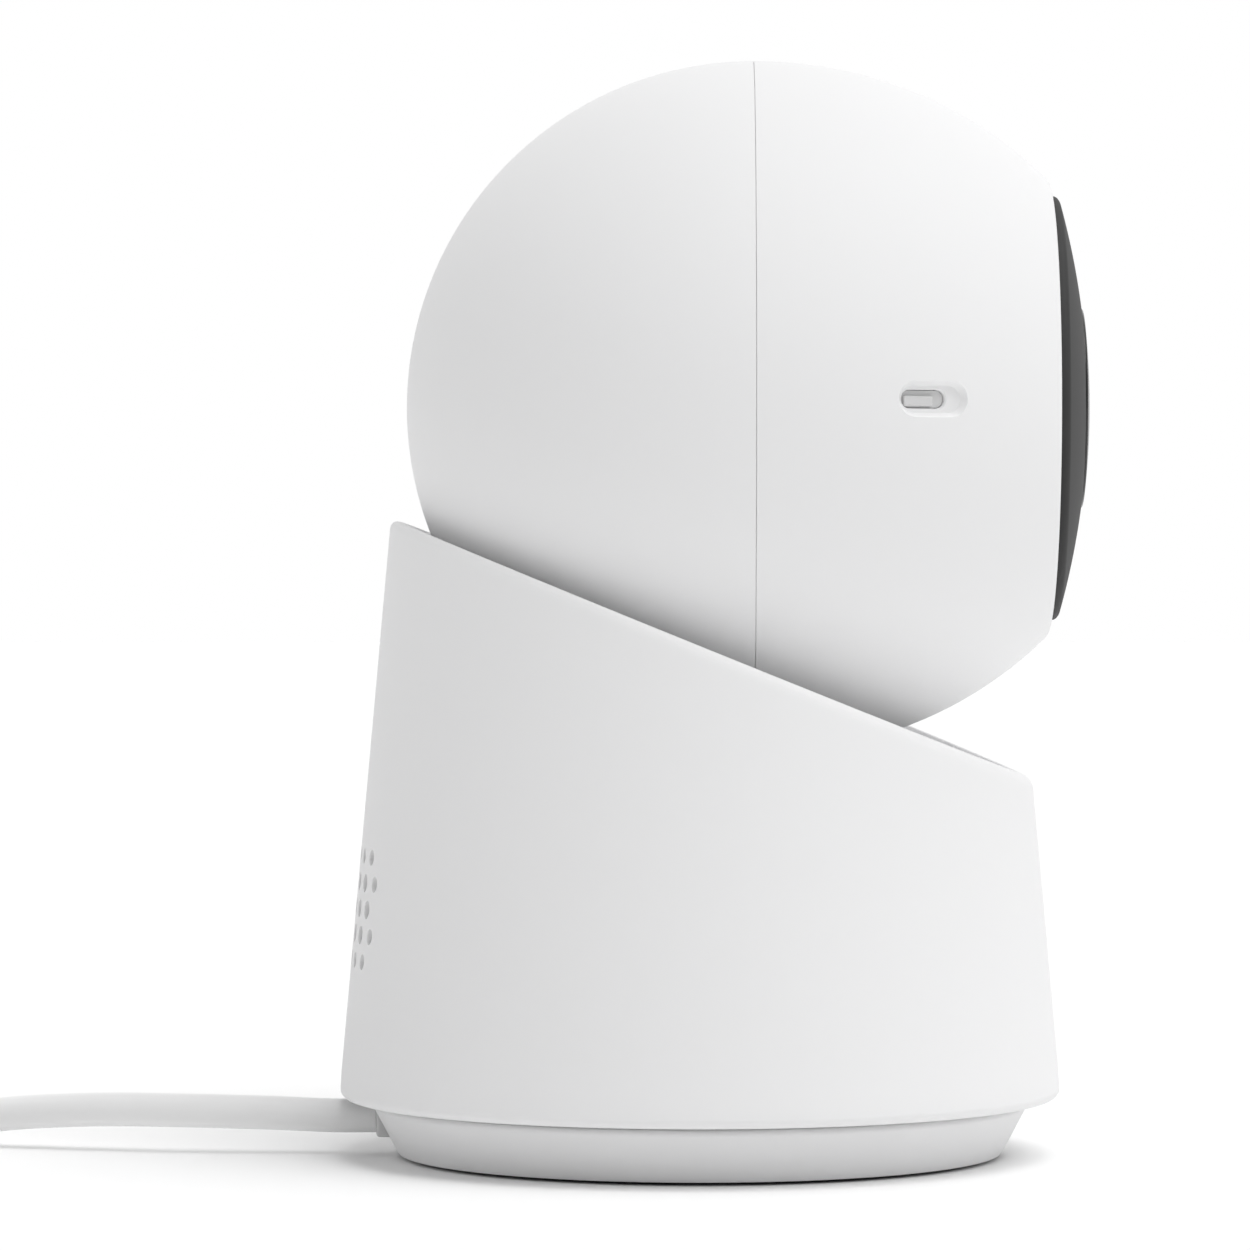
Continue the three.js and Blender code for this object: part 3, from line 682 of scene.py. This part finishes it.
@dataclass
class Studio:
    """The view, the pale floor and the soft lights."""

    distance: float = 0.601
    height: float = 0.0616
    lens: float = 158.3
    shift: tuple[float, float] = (-0.06, -0.0277)
    floor_grey: float = 0.98
    sky: tuple[float, float, float, float] = (-0.5, 0.95, 0.3, 1.0)
    sun_from: Point = (-0.4, -0.42, 1.2)
    sun_power: float = 1.75
    sun_spread: float = 50.0

    def camera(self) -> None:
        """Stand the camera on the -X side, level, looking along +X."""
        data = bpy.data.cameras.new("view")
        data.lens = self.lens
        data.sensor_width = 36.0
        data.shift_x, data.shift_y = self.shift
        data.clip_start = 0.01
        camera = bpy.data.objects.new("view", data)
        camera.location = (-self.distance, 0.0, self.height)
        camera.rotation_euler = (math.pi / 2, 0.0, -math.pi / 2)
        bpy.context.scene.collection.objects.link(camera)
        bpy.context.scene.camera = camera

    def floor(self) -> None:
        """Lay a wide, pale, matt floor."""
        mesh = bmesh.new()
        bmesh.ops.create_grid(mesh, x_segments=1, y_segments=1, size=6.0)
        floor = to_object(mesh, "floor")
        shader = Shader("floor_pale")
        tone = shader.noise(3.0, 2.0)
        grey = self.floor_grey
        shader.set(
            Base_Color=shader.mix(tone, (grey - 0.004,) * 3, (grey,) * 3),
            Roughness=1.0,
            Specular_IOR_Level=0.0,
        )
        floor.data.materials.append(shader.material)

    def sun(self) -> None:
        """Hang one wide, soft light high in front of the camera's lens side."""
        data = bpy.data.lights.new("window_light", "SUN")
        data.energy = self.sun_power
        data.angle = math.radians(self.sun_spread)
        lamp = bpy.data.objects.new("window_light", data)
        lamp.rotation_euler = (-Vector(self.sun_from)).to_track_quat("-Z", "Y").to_euler()
        bpy.context.scene.collection.objects.link(lamp)

    def sky_light(self) -> None:
        """Light the room all round, white behind the object and dimmer behind the viewer."""
        world = bpy.data.worlds.new("room")
        world.use_nodes = True
        nodes, links = world.node_tree.nodes, world.node_tree.links
        background = nodes["Background"]
        background.inputs["Color"].default_value = (1.0, 1.0, 1.0, 1.0)
        way = nodes.new("ShaderNodeTexCoord")
        split = nodes.new("ShaderNodeSeparateXYZ")
        ramp = nodes.new("ShaderNodeMapRange")
        links.new(way.outputs["Generated"], split.inputs[0])
        links.new(split.outputs["X"], ramp.inputs["Value"])
        for name, value in zip(("From Min", "From Max", "To Min", "To Max"), self.sky):
            ramp.inputs[name].default_value = value
        links.new(ramp.outputs["Result"], background.inputs["Strength"])
        bpy.context.scene.world = world

    def build(self) -> None:
        """Make the floor, the sky and the light."""
        bpy.context.scene.view_settings.view_transform = "Standard"
        self.floor()
        self.sky_light()
        self.sun()


# ---------------------------------------------------------------- lead


@dataclass
class Lead:
    """The white lead: out of the pedestal, along the floor, wound into a coil, to its plug."""

    diameter: float = 3.7
    pitch: float = 3.8
    middle: float = 22.2
    coil_y: float = 112.0
    points_per_turn: int = 20
    turns: float = 11.0
    shift: float = 12.0

    def straight(self) -> list[Point]:
        """The stretch from the pedestal to the coil, in millimetres."""
        return [
            (0.0, 35.35, 4.2), (0.0, 40.0, 4.2), (0.0, 46.0, 4.45), (0.3, 52.0, 4.6), (1.2, 58.0, 4.65),
            (2.7, 64.0, 4.6), (4.6, 70.0, 4.3), (6.6, 76.0, 3.8), (8.5, 82.0, 3.0), (10.2, 88.0, 2.2),
            (11.3, 94.0, 1.9), (11.8, 100.0, 1.9), (12.0, 106.0, 1.9),
        ]

    def tail(self) -> list[Point]:
        """The stretch from the coil to the plug, in millimetres."""
        x = self.shift + self.pitch
        heights = (
            (120.0, 5.0), (128.0, 4.3), (134.0, 3.7), (140.0, 3.3), (146.0, 3.3), (151.0, 3.5), (155.2, 3.6))
        return [(x, y, z) for y, z in heights]

    def stations(self) -> list[tuple[float, float, float]]:
        """Turn count, column and layer where the winding starts or ends a shift."""
        return [
            (0.0, 1, 0), (0.6, 1, 0), (0.8, 0, 0), (1.6, 0, 0), (1.8, -1, 0), (2.4, -1, 0), (2.6, -1, 1),
            (3.2, -1, 1), (3.4, 0, 1), (4.2, 0, 1), (4.4, 1, 1), (5.0, 1, 1), (5.2, 1, 2),
            (5.8, 1, 2), (6.0, 0, 2), (6.8, 0, 2), (7.0, -1, 2), (7.6, -1, 2), (7.8, -1, 3),
            (8.4, -1, 3), (8.6, 0, 3), (9.4, 0, 3), (9.6, 1, 3), (10.2, 1, 3), (10.4, 2, 2.9),
            (10.8, 2, 1.35), (11.0, 2, 1.0),
        ]

    def winding(self, turn: float) -> Point:
        """Point of the coil after some turns, in millimetres.

        Args:
            turn: how many turns have been wound.

        Returns:
            The point.
        """
        stations = self.stations()
        low, high = next((a, b) for a, b in zip(stations, stations[1:]) if turn <= b[0] + 1e-9)
        share = (turn - low[0]) / (high[0] - low[0])
        ease = share * share * (3.0 - 2.0 * share)
        column = low[1] + (high[1] - low[1]) * ease
        layer = low[2] + (high[2] - low[2]) * ease
        radius = self.middle + column * self.pitch
        angle = math.tau * turn
        centre = self.shift - (self.middle + self.pitch)
        return (centre + radius * math.cos(angle), self.coil_y + radius * math.sin(angle),
                self.pitch / 2 + layer * self.pitch)

    def route(self) -> list[Vector]:
        """The whole centreline, in metres."""
        count = round(self.turns * self.points_per_turn)
        coil = [self.winding(i / self.points_per_turn) for i in range(count + 1)]
        return [Vector(p) * MM for p in self.straight() + coil + self.tail()]

    def plug_grip(self) -> bpy.types.Object:
        """The moulded grip and its ribbed relief."""
        low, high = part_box("plug_body")
        centre = (Vector(low) + Vector(high)) / 2 / MM
        start, end = low[1] / MM, high[1] / MM
        grip = block((low[0] / MM, start + 5.0, low[2] / MM), (high[0] / MM, end, high[2] / MM), 1.6, 4)
        relief = outline([(0.0, 0.0), (2.1, 0.0), (2.1, 1.0), (2.4, 1.2), (2.4, 2.2), (2.6, 2.4),
                          (2.6, 3.4), (2.85, 3.6), (2.95, 5.6), (0.0, 5.6)])
        cone = turned(relief, 48, loop=False)
        seat = Matrix.Translation(Vector((centre.x, start, centre.z)) * MM)
        turn = Matrix.Rotation(-math.pi / 2, 4, "X")
        mesh = combine(grip, [move(cone, seat @ turn)], "UNION")
        return Piece("plug_grip", "pedestal", Finish.LEAD, ("plug_body",)).make(mesh)

    def plug_mouth(self) -> bpy.types.Object:
        """The folded metal mouth with its two windows."""
        low, high = (Vector(corner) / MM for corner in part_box("plug_shell"))
        body = block(tuple(low), tuple(high), 0.35, 3)
        wall = 0.4
        inside = block((low.x + wall, low.y + 1.5, low.z + wall),
                       (high.x - wall, high.y + 1.0, high.z - wall))
        windows = [
            block((x - 1.1, high.y - 6.6, high.z - 1.0), (x + 1.1, high.y - 4.4, high.z + 1.0))
            for x in ((low.x + high.x) / 2 - 2.8, (low.x + high.x) / 2 + 2.8)]
        return Piece("plug_mouth", "pedestal", Finish.STEEL, ("plug_shell",)).make(
            combine(body, [inside, *windows]))

    def tongue(self) -> bpy.types.Object:
        """The plastic tongue inside the metal mouth."""
        low, high = (Vector(corner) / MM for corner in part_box("plug_shell"))
        mesh = block((low.x + 0.8, low.y + 1.2, low.z + 0.5),
                     (high.x - 0.8, high.y - 0.8, low.z + 2.3), 0.2, 2)
        return Piece("plug_tongue", "pedestal", Finish.LEAD).make(mesh)

    def build(self) -> None:
        """Make the lead and what is on it."""
        points = self.route()
        data = bpy.data.curves.new("lead", "CURVE")
        data.dimensions = "3D"
        data.bevel_depth = self.diameter / 2 * MM
        data.bevel_resolution = 4
        data.resolution_u = 4
        data.use_fill_caps = True
        spline = data.splines.new("BEZIER")
        spline.bezier_points.add(len(points) - 1)
        for knot, point in zip(spline.bezier_points, points):
            knot.co = point
            knot.handle_left_type = knot.handle_right_type = "AUTO"
        data.materials.append(Finish.LEAD.material())
        obj = bpy.data.objects.new("lead", data)
        bpy.context.scene.collection.objects.link(obj)
        Piece("lead", "pedestal", Finish.LEAD, ("power_cord", "cord_coil", "cord_tail")).declare(obj)
        pieces = [self.plug_grip(), self.plug_mouth(), self.tongue()]


# ---------------------------------------------------------------- pedestal


@dataclass
class Pedestal:
    """The low round pedestal, its rubber foot and the bush of the lead."""

    top_r: float = 35.6
    foot_r: float = 33.05
    top: float = 6.0
    foot: float = 0.35

    def shell(self) -> None:
        """Side wall and raised top plate, with the notch for the lead."""
        side = [
            (31.9, self.foot), *arc((self.foot_r - 0.3, self.foot + 0.3), (0.3, 0.3), -90, -26.6, 4),
            *arc((self.top_r - 0.5, self.top - 0.5), (0.5, 0.5), -26.6, 90, 6),
        ]
        inner = [
            (31.0, self.top), (30.4, 8.0), (8.4, 8.0), (8.4, 6.6), (29.2, 6.6), (29.8, 4.7), (33.6, 4.7)]
        mesh = turned(outline(side + inner), 256)
        notch = block((-2.5, 29.9, 1.7), (2.5, 37.0, 6.2))
        Piece("pedestal_side", "pedestal", Finish.SHELL, ("pedestal_shell",)).make(combine(mesh, [notch]))

    def rubber(self) -> None:
        """The foot ring with a rounded edge and two grip grooves underneath."""
        groove = [(28.6, 0.0), (28.4, 0.3), (28.0, 0.3), (27.8, 0.0), (26.6, 0.0), (26.4, 0.3), (26.0, 0.3),
                  (25.8, 0.0)]
        ring = [(24.2, 0.8), *arc((31.2, 0.5), (0.3, 0.3), 90, 0, 3),
                *arc((31.2, 0.3), (0.3, 0.3), 0, -90, 3), *groove, (24.2, 0.0)]
        Piece("rubber_foot", "pedestal", Finish.DARK_RUBBER, ("foot_ring",)).make(turned(outline(ring), 192))

    def bush(self) -> None:
        """The flared bush that the lead leaves through."""
        low, high = (Vector(corner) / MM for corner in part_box("cord_gland"))
        mesh = block(tuple(low), tuple(high), 0.4, 3)
        Piece("lead_bush", "pedestal", Finish.LIGHT_RUBBER, ("cord_gland",)).make(mesh)

    def build(self) -> None:
        """Make every visible piece of the pedestal."""
        self.shell()
        self.rubber()
        self.bush()


# ---------------------------------------------------------------- turret


def below(mesh: bmesh.types.BMesh, depth: float, fill: bool = True) -> list[bmesh.types.BMEdge]:
    """Cut a solid off at the slanted rim plane, moved down by a depth.

    Args:
        mesh: the solid, changed in place.
        depth: millimetres below the rim.
        fill: close the cut with one flat face.

    Returns:
        The edges round the cut.
    """
    point, normal = LAYOUT.rim_plane(depth)
    geom = mesh.verts[:] + mesh.edges[:] + mesh.faces[:]
    cut = bmesh.ops.bisect_plane(mesh, geom=geom, plane_co=point, plane_no=normal, clear_outer=True)
    edges = [item for item in cut["geom_cut"] if isinstance(item, bmesh.types.BMEdge)]
    if fill:
        bmesh.ops.holes_fill(mesh, edges=edges)
        bmesh.ops.recalc_face_normals(mesh, faces=mesh.faces[:])
    return edges


@dataclass
class Turret:
    """The tapered body that turns on the pedestal, with the bowl that holds the head."""

    wall: float = 1.7
    bottom: float = 6.4
    uncut_top: float = 78.0
    edge: float = 1.02
    rim_bevel: float = 1.15
    inner_bevel: float = 0.3
    bowl_r: float = 41.0
    bowl_y: float = -8.1
    bowl_wall: float = 1.8
    bowl_low: float = 33.0
    clearance: float = 0.3
    boss_r: float = 12.5
    way_half: tuple[float, float] = (5.3, 4.8)
    recess: float = 0.8
    deck: float = 2.0
    steps: int = 288
    hole_rows: tuple[int, ...] = (7, 8, 7, 8, 7)
    small_hole: float = 0.85
    large_hole: float = 1.0
    hole_pitch: float = 3.77
    row_pitch: float = 2.8
    holes_z: float = 27.3

    def wall_tube(self) -> bmesh.types.BMesh:
        """The tapered tube before the rim is cut."""
        top = self.uncut_top
        inner_low = LAYOUT.radius_at(self.bottom) - self.wall
        points = [
            (inner_low, self.bottom),
            *arc((38.2, self.bottom + self.edge), (self.edge, self.edge), -90, 4, 8),
            (LAYOUT.radius_at(9.2), 9.2),
            (LAYOUT.radius_at(top), top),
            (LAYOUT.radius_at(top) - self.wall, top),
        ]
        return turned(outline(points), self.steps)

    def rim(self, mesh: bmesh.types.BMesh) -> None:
        """Cut the slanted rim, close it and round its two edges.

        Args:
            mesh: the tube, changed in place.
        """
        point, normal = LAYOUT.rim_plane(2.6)
        geom = mesh.verts[:] + mesh.edges[:] + mesh.faces[:]
        bmesh.ops.bisect_plane(mesh, geom=geom, plane_co=point, plane_no=normal)
        edges = below(mesh, 0.0, fill=False)
        middle = {e: (e.verts[0].co + e.verts[1].co) / 2 for e in edges}
        split = {e: (LAYOUT.radius_at(c.z / MM) - self.wall / 2) * MM for e, c in middle.items()}
        outer = [e for e in edges if middle[e].xy.length > split[e]]
        inner = [e for e in edges if middle[e].xy.length <= split[e]]
        bmesh.ops.bridge_loops(mesh, edges=edges)
        for loop, offset, segments in ((outer, self.rim_bevel, 5), (inner, self.inner_bevel, 3)):
            bmesh.ops.bevel(mesh, geom=loop, offset=offset * MM, offset_type="OFFSET",
                            segments=segments, profile=0.5, affect="EDGES", material=-1)
        bmesh.ops.recalc_face_normals(mesh, faces=mesh.faces[:])

    def sound_holes(self) -> bmesh.types.BMesh:
        """One cutter with a rod for every hole of the speaker grille."""
        mesh = bmesh.new()
        for row, count in enumerate(self.hole_rows):
            for i in range(count):
                small = row % 4 == 0 or (count == 8 and i in (0, count - 1))
                radius = (self.small_hole if small else self.large_hole) * MM
                x = (i - (count - 1) / 2) * self.hole_pitch * MM
                z = (self.holes_z + (row - 2) * self.row_pitch) * MM
                place = Matrix.Translation((x, 36 * MM, z)) @ Matrix.Rotation(math.pi / 2, 4, "X")
                bmesh.ops.create_cone(mesh, cap_ends=True, segments=24, radius1=radius, radius2=radius,
                                      depth=12 * MM, matrix=place)
        return mesh

    def shell(self) -> None:
        """The tapered outer shell."""
        mesh = self.wall_tube()
        self.rim(mesh)
        Piece("body_cover", "turret", Finish.SHELL, ("body_shell",)).make(combine(mesh, [self.sound_holes()]))

    def ball(self, radius: float) -> bmesh.types.BMesh:
        """A ball about the middle of the bowl.

        Args:
            radius: its radius, in millimetres.

        Returns:
            The closed solid.
        """
        mesh = turned(outline(arc((0, 0), (radius, radius), -90, 90, 96)), 192, loop=False)
        return move(mesh, Matrix.Translation((0, self.bowl_y * MM, LAYOUT.head_at[2] * MM)))

    def bowl(self) -> None:
        """The bowl liner with its deck just under the rim and the way through for the stalk."""
        low, high = self.bowl_low, self.uncut_top
        gap = self.wall + self.clearance
        dish = turned(outline([(0, low), (LAYOUT.radius_at(low) - gap, low),
                               (LAYOUT.radius_at(high) - gap, high), (0, high)]), self.steps, loop=False)
        below(dish, self.recess)
        under = turned(outline([(0, 20), (60, 20), (60, high), (0, high)]), 48, loop=False)
        below(under, self.recess + self.deck)
        under = combine(under, [self.ball(self.bowl_r + self.bowl_wall)])
        dish = combine(dish, [under])
        x, y, _ = LAYOUT.head_at
        boss = move(rod(self.boss_r, 36.0, 43.0, 64), Matrix.Translation((x, y * MM, 0)))
        half_x, half_y = self.way_half
        way = block((-half_x, y - half_y, 30.0), (half_x, y + half_y, 50.0))
        dish = combine(dish, [boss], "UNION")
        dish = combine(dish, [self.ball(self.bowl_r), way])
        Piece("bowl_liner", "turret", Finish.SHELL, ("bowl",)).make(dish)

    def build(self) -> None:
        """Make every visible piece of the turret."""
        self.shell()
        self.bowl()


# ---------------------------------------------------------------- head


@dataclass
class Head:
    """The ball head: two shells, the domed black front, its lens window and the side port."""

    seam: float = 0.025
    seam_bevel: float = 0.05
    lip: float = 1.4
    lip_r: float = 37.55
    ring_z: float = 31.85
    ring_face: float = 32.2
    bezel_r: float = 23.15
    dome_r: float = 83.0
    apex: float = 36.4
    window_r: float = 11.0
    proud: float = 0.2
    tilt: tuple[float, float] = (-15.0, 60.0)
    slot_x: float = 5.6
    slot_margin: float = 8.0
    port: tuple[float, float] = (18.35, -0.15)
    pocket_shift: float = -0.75
    button: Point = (0.3, -0.86, 0.41)
    steps: int = 256
    place: Matrix = field(default_factory=LAYOUT.head_place)

    def dome(self, radius: float) -> float:
        """Height of the black dome in front of the seam at a radius.

        Args:
            radius: the radius, in millimetres.

        Returns:
            The height, in millimetres.
        """
        return self.apex - self.dome_r + math.sqrt(self.dome_r ** 2 - radius ** 2)

    def slot(self) -> bmesh.types.BMesh:
        """The cutter of the slot that lets the head tilt about the stalk."""
        start = -90 - self.tilt[1] - self.slot_margin
        end = -90 - self.tilt[0] + self.slot_margin
        points = arc((0, 0), (46, 46), start, end, 40) + arc((0, 0), (30, 30), end, start, 40)
        mesh = bmesh.new()
        side = -self.slot_x * MM
        face = mesh.faces.new([mesh.verts.new((side, up * MM, ahead * MM)) for ahead, up in points])
        grown = bmesh.ops.extrude_face_region(mesh, geom=[face])
        verts = [item for item in grown["geom"] if isinstance(item, bmesh.types.BMVert)]
        bmesh.ops.translate(mesh, vec=(2 * self.slot_x * MM, 0, 0), verts=verts)
        return tidy(mesh)

    def port_place(self) -> Matrix:
        """Place on the side wall at the port: X forward along the wall, Y up, Z outward."""
        ahead, up = self.port
        nose, radius = LAYOUT.nose, LAYOUT.head_r
        root = math.sqrt(1 - (ahead / nose) ** 2)
        lean = math.atan(radius * ahead / (nose ** 2 * root))
        columns = ((math.sin(lean), 0, math.cos(lean)), (0, 1, 0), (-math.cos(lean), 0, math.sin(lean)))
        turn = Matrix(columns).transposed().to_4x4()
        return Matrix.Translation(Vector((-radius * root, up, ahead)) * MM) @ turn

    def aimed(self) -> Matrix:
        """Turn from Z to the direction of the reset button."""
        return Vector((0, 0, 1)).rotation_difference(Vector(self.button).normalized()).to_matrix().to_4x4()

    def button_reach(self) -> float:
        """Distance from the head's middle to its surface along the button."""
        aim = Vector(self.button).normalized()
        across = (aim.x ** 2 + aim.y ** 2) / LAYOUT.head_r ** 2
        return 1 / math.sqrt(across + aim.z ** 2 / LAYOUT.nose ** 2)

    def rear(self) -> None:
        """Rear half ball with the inner lip of the seam and two posts."""
        radius = LAYOUT.head_r
        inner = radius - LAYOUT.wall
        bevel = self.seam + self.seam_bevel
        start = -math.degrees(math.asin(bevel / radius))
        points = [
            *arc((0, 0), (radius, radius), -90, start, 96),
            (radius - self.seam_bevel, -self.seam), (self.lip_r, -self.seam), (self.lip_r, self.lip),
            (inner, self.lip),
            *arc((0, 0), (inner, inner), -1, -90, 48),
        ]
        mesh = turned(outline(points), self.steps, loop=False)
        posts = [move(rod(2.6, -35.5, -27.3), Matrix.Translation((x * MM, 8 * MM, 0))) for x in (-6, 6)]
        mesh = combine(combine(mesh, posts, "UNION"), [self.slot()])
        Piece("rear_cover", "head", Finish.SHELL, ("head_rear_shell",)).make(move(mesh, self.place))

    def front(self) -> None:
        """Front ellipsoid with the seat of the bezel, the port and the button's hole."""
        radius, nose = LAYOUT.head_r, LAYOUT.nose
        inner_r, inner_nose = radius - LAYOUT.wall, nose - LAYOUT.wall
        start = math.degrees(math.asin((self.seam + self.seam_bevel) / nose))
        end = math.degrees(math.asin(self.ring_z / nose))
        inner_end = math.degrees(math.asin(29.4 / inner_nose))
        points = [
            (radius - self.seam_bevel, self.seam),
            *arc((0, 0), (radius, nose), start, end, 72),
            (24.75, 32.08), (24.4, self.ring_face - 0.02), (23.6, self.ring_face),
            (23.45, self.ring_face - 0.1), (23.45, 30.9), (22.0, 30.9), (22.0, 29.4),
            *arc((0, 0), (inner_r, inner_nose), inner_end, 3, 40),
            (inner_r, self.lip + 0.2), (self.lip_r + 0.05, self.lip + 0.2), (self.lip_r + 0.05, self.seam),
        ]
        mesh = turned(outline(points), self.steps)
        recess = obround([(6.2, 2.2, -1.0), (6.8, 2.8, -0.95), (7.4, 3.3, -0.6), (7.9, 3.7, -0.15),
                          (8.6, 4.3, 0.25), (8.6, 4.3, 3.0)])
        pocket = obround([(5.0, 1.9, -4.0), (5.0, 1.9, -1.2), (5.4, 2.3, -0.9)])
        pocket = move(pocket, Matrix.Translation((self.pocket_shift * MM, 0, 0)))
        hole = move(rod(1.9, 30.0, 45.0), self.aimed())
        tools = [self.slot(), move(recess, self.port_place()), move(pocket, self.port_place()), hole]
        Piece("front_cover", "head", Finish.SHELL, ("head_front_shell",)).make(
            move(combine(mesh, tools), self.place))

    def bezel(self) -> None:
        """Domed black front with its turned-in edges."""
        hole = self.window_r + 0.3
        edge = self.bezel_r
        count = 32
        start = edge - 0.4
        radii = [start + (hole + 0.12 - start) * i / count for i in range(count + 1)]
        under = [hole + (21 - hole) * i / 12 for i in range(13)]
        points = [
            (edge, 31.2), (edge, self.dome(edge) - 0.5), (edge - 0.05, self.dome(edge) - 0.25),
            (edge - 0.17, self.dome(edge) - 0.06),
            *((r, self.dome(r)) for r in radii), (hole, self.dome(hole) - 0.12),
            *((r, self.dome(r) - 1.5) for r in under), (21.6, 31.2),
        ]
        mesh = turned(outline(points), self.steps)
        Piece("dome_front", "head", Finish.SATIN, ("front_bezel",)).make(move(mesh, self.place))

    def window(self) -> None:
        """Round smoked window over the lens, slightly proud of the dome."""
        edge = self.window_r
        count = 24
        radii = [(edge - 0.15) * (1 - i / count) for i in range(count + 1)]
        points = [(0, 35.0), (edge, 35.0), (edge, self.dome(edge) + self.proud - 0.15),
                  *((r, self.dome(r) + self.proud) for r in radii)]
        mesh = turned(outline(points), self.steps, loop=False)
        Piece("window", "head", Finish.WINDOW, ("lens_window",)).make(move(mesh, self.place))

    def boot(self) -> None:
        """The microphone's rubber boot in the port, with its ridge."""
        pad = obround([(4.9, 1.8, -2.6), (4.9, 1.8, -1.55), (4.8, 1.7, -1.5)])
        ridge = block((-2.2, -0.75, -1.7), (1.1, 0.35, -0.95), 0.2, 3)
        mesh = combine(pad, [ridge], "UNION")
        shift = Matrix.Translation((self.pocket_shift * MM, 0, 0))
        Piece("port_boot", "head", Finish.LIGHT_RUBBER, ("mic_boot",)).make(
            move(mesh, self.place @ self.port_place() @ shift))

    def reset(self) -> None:
        """The domed reset button with its flange."""
        reach = self.button_reach()
        top = reach - 0.3
        low = reach - 3.2
        points = [(0, low), (2.6, low), (2.6, low + 0.8), (1.6, low + 0.8), (1.6, top - 0.3),
                  *arc((1.3, top - 0.3), (0.3, 0.3), 0, 90, 4), (0, top)]
        mesh = turned(outline(points), 48, loop=False)
        Piece("button_cap", "reset_button", Finish.DARK_RUBBER, ("reset_button",)).make(
            move(mesh, self.place @ self.aimed()))

    def build(self) -> None:
        """Make every visible piece of the head."""
        self.rear()
        self.front()
        self.bezel()
        self.window()
        self.boot()
        self.reset()


# ---------------------------------------------------------------- inner works


@dataclass
class InnerWorks:
    """The pieces whose shape comes from the frame and that only need a finish."""

    def build(self) -> None:
        """Dress every frame piece by its material slot."""
        finishes = {finish.slot: finish for finish in Finish}
        for entry in frame["record"]["subparts"]:
            obj = frame["nodes"][entry["node"]]
            finish = finishes[entry["material_slot"]]
            obj.data.materials.clear()
            obj.data.materials.append(finish.material())
            LOG.info("%s dressed as %s", entry["node"], finish.slot)


def main() -> None:
    """Build the camera, sub-assembly by sub-assembly, then the floor, sky and light."""
    studio = Studio()
    studio.camera()
    Lead().build()
    InnerWorks().build()
    Pedestal().build()
    Turret().build()
    Head().build()
    studio.build()
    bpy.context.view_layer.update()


if __name__ == "__main__":
    logging.basicConfig(level=logging.INFO, format="%(message)s")
    main()
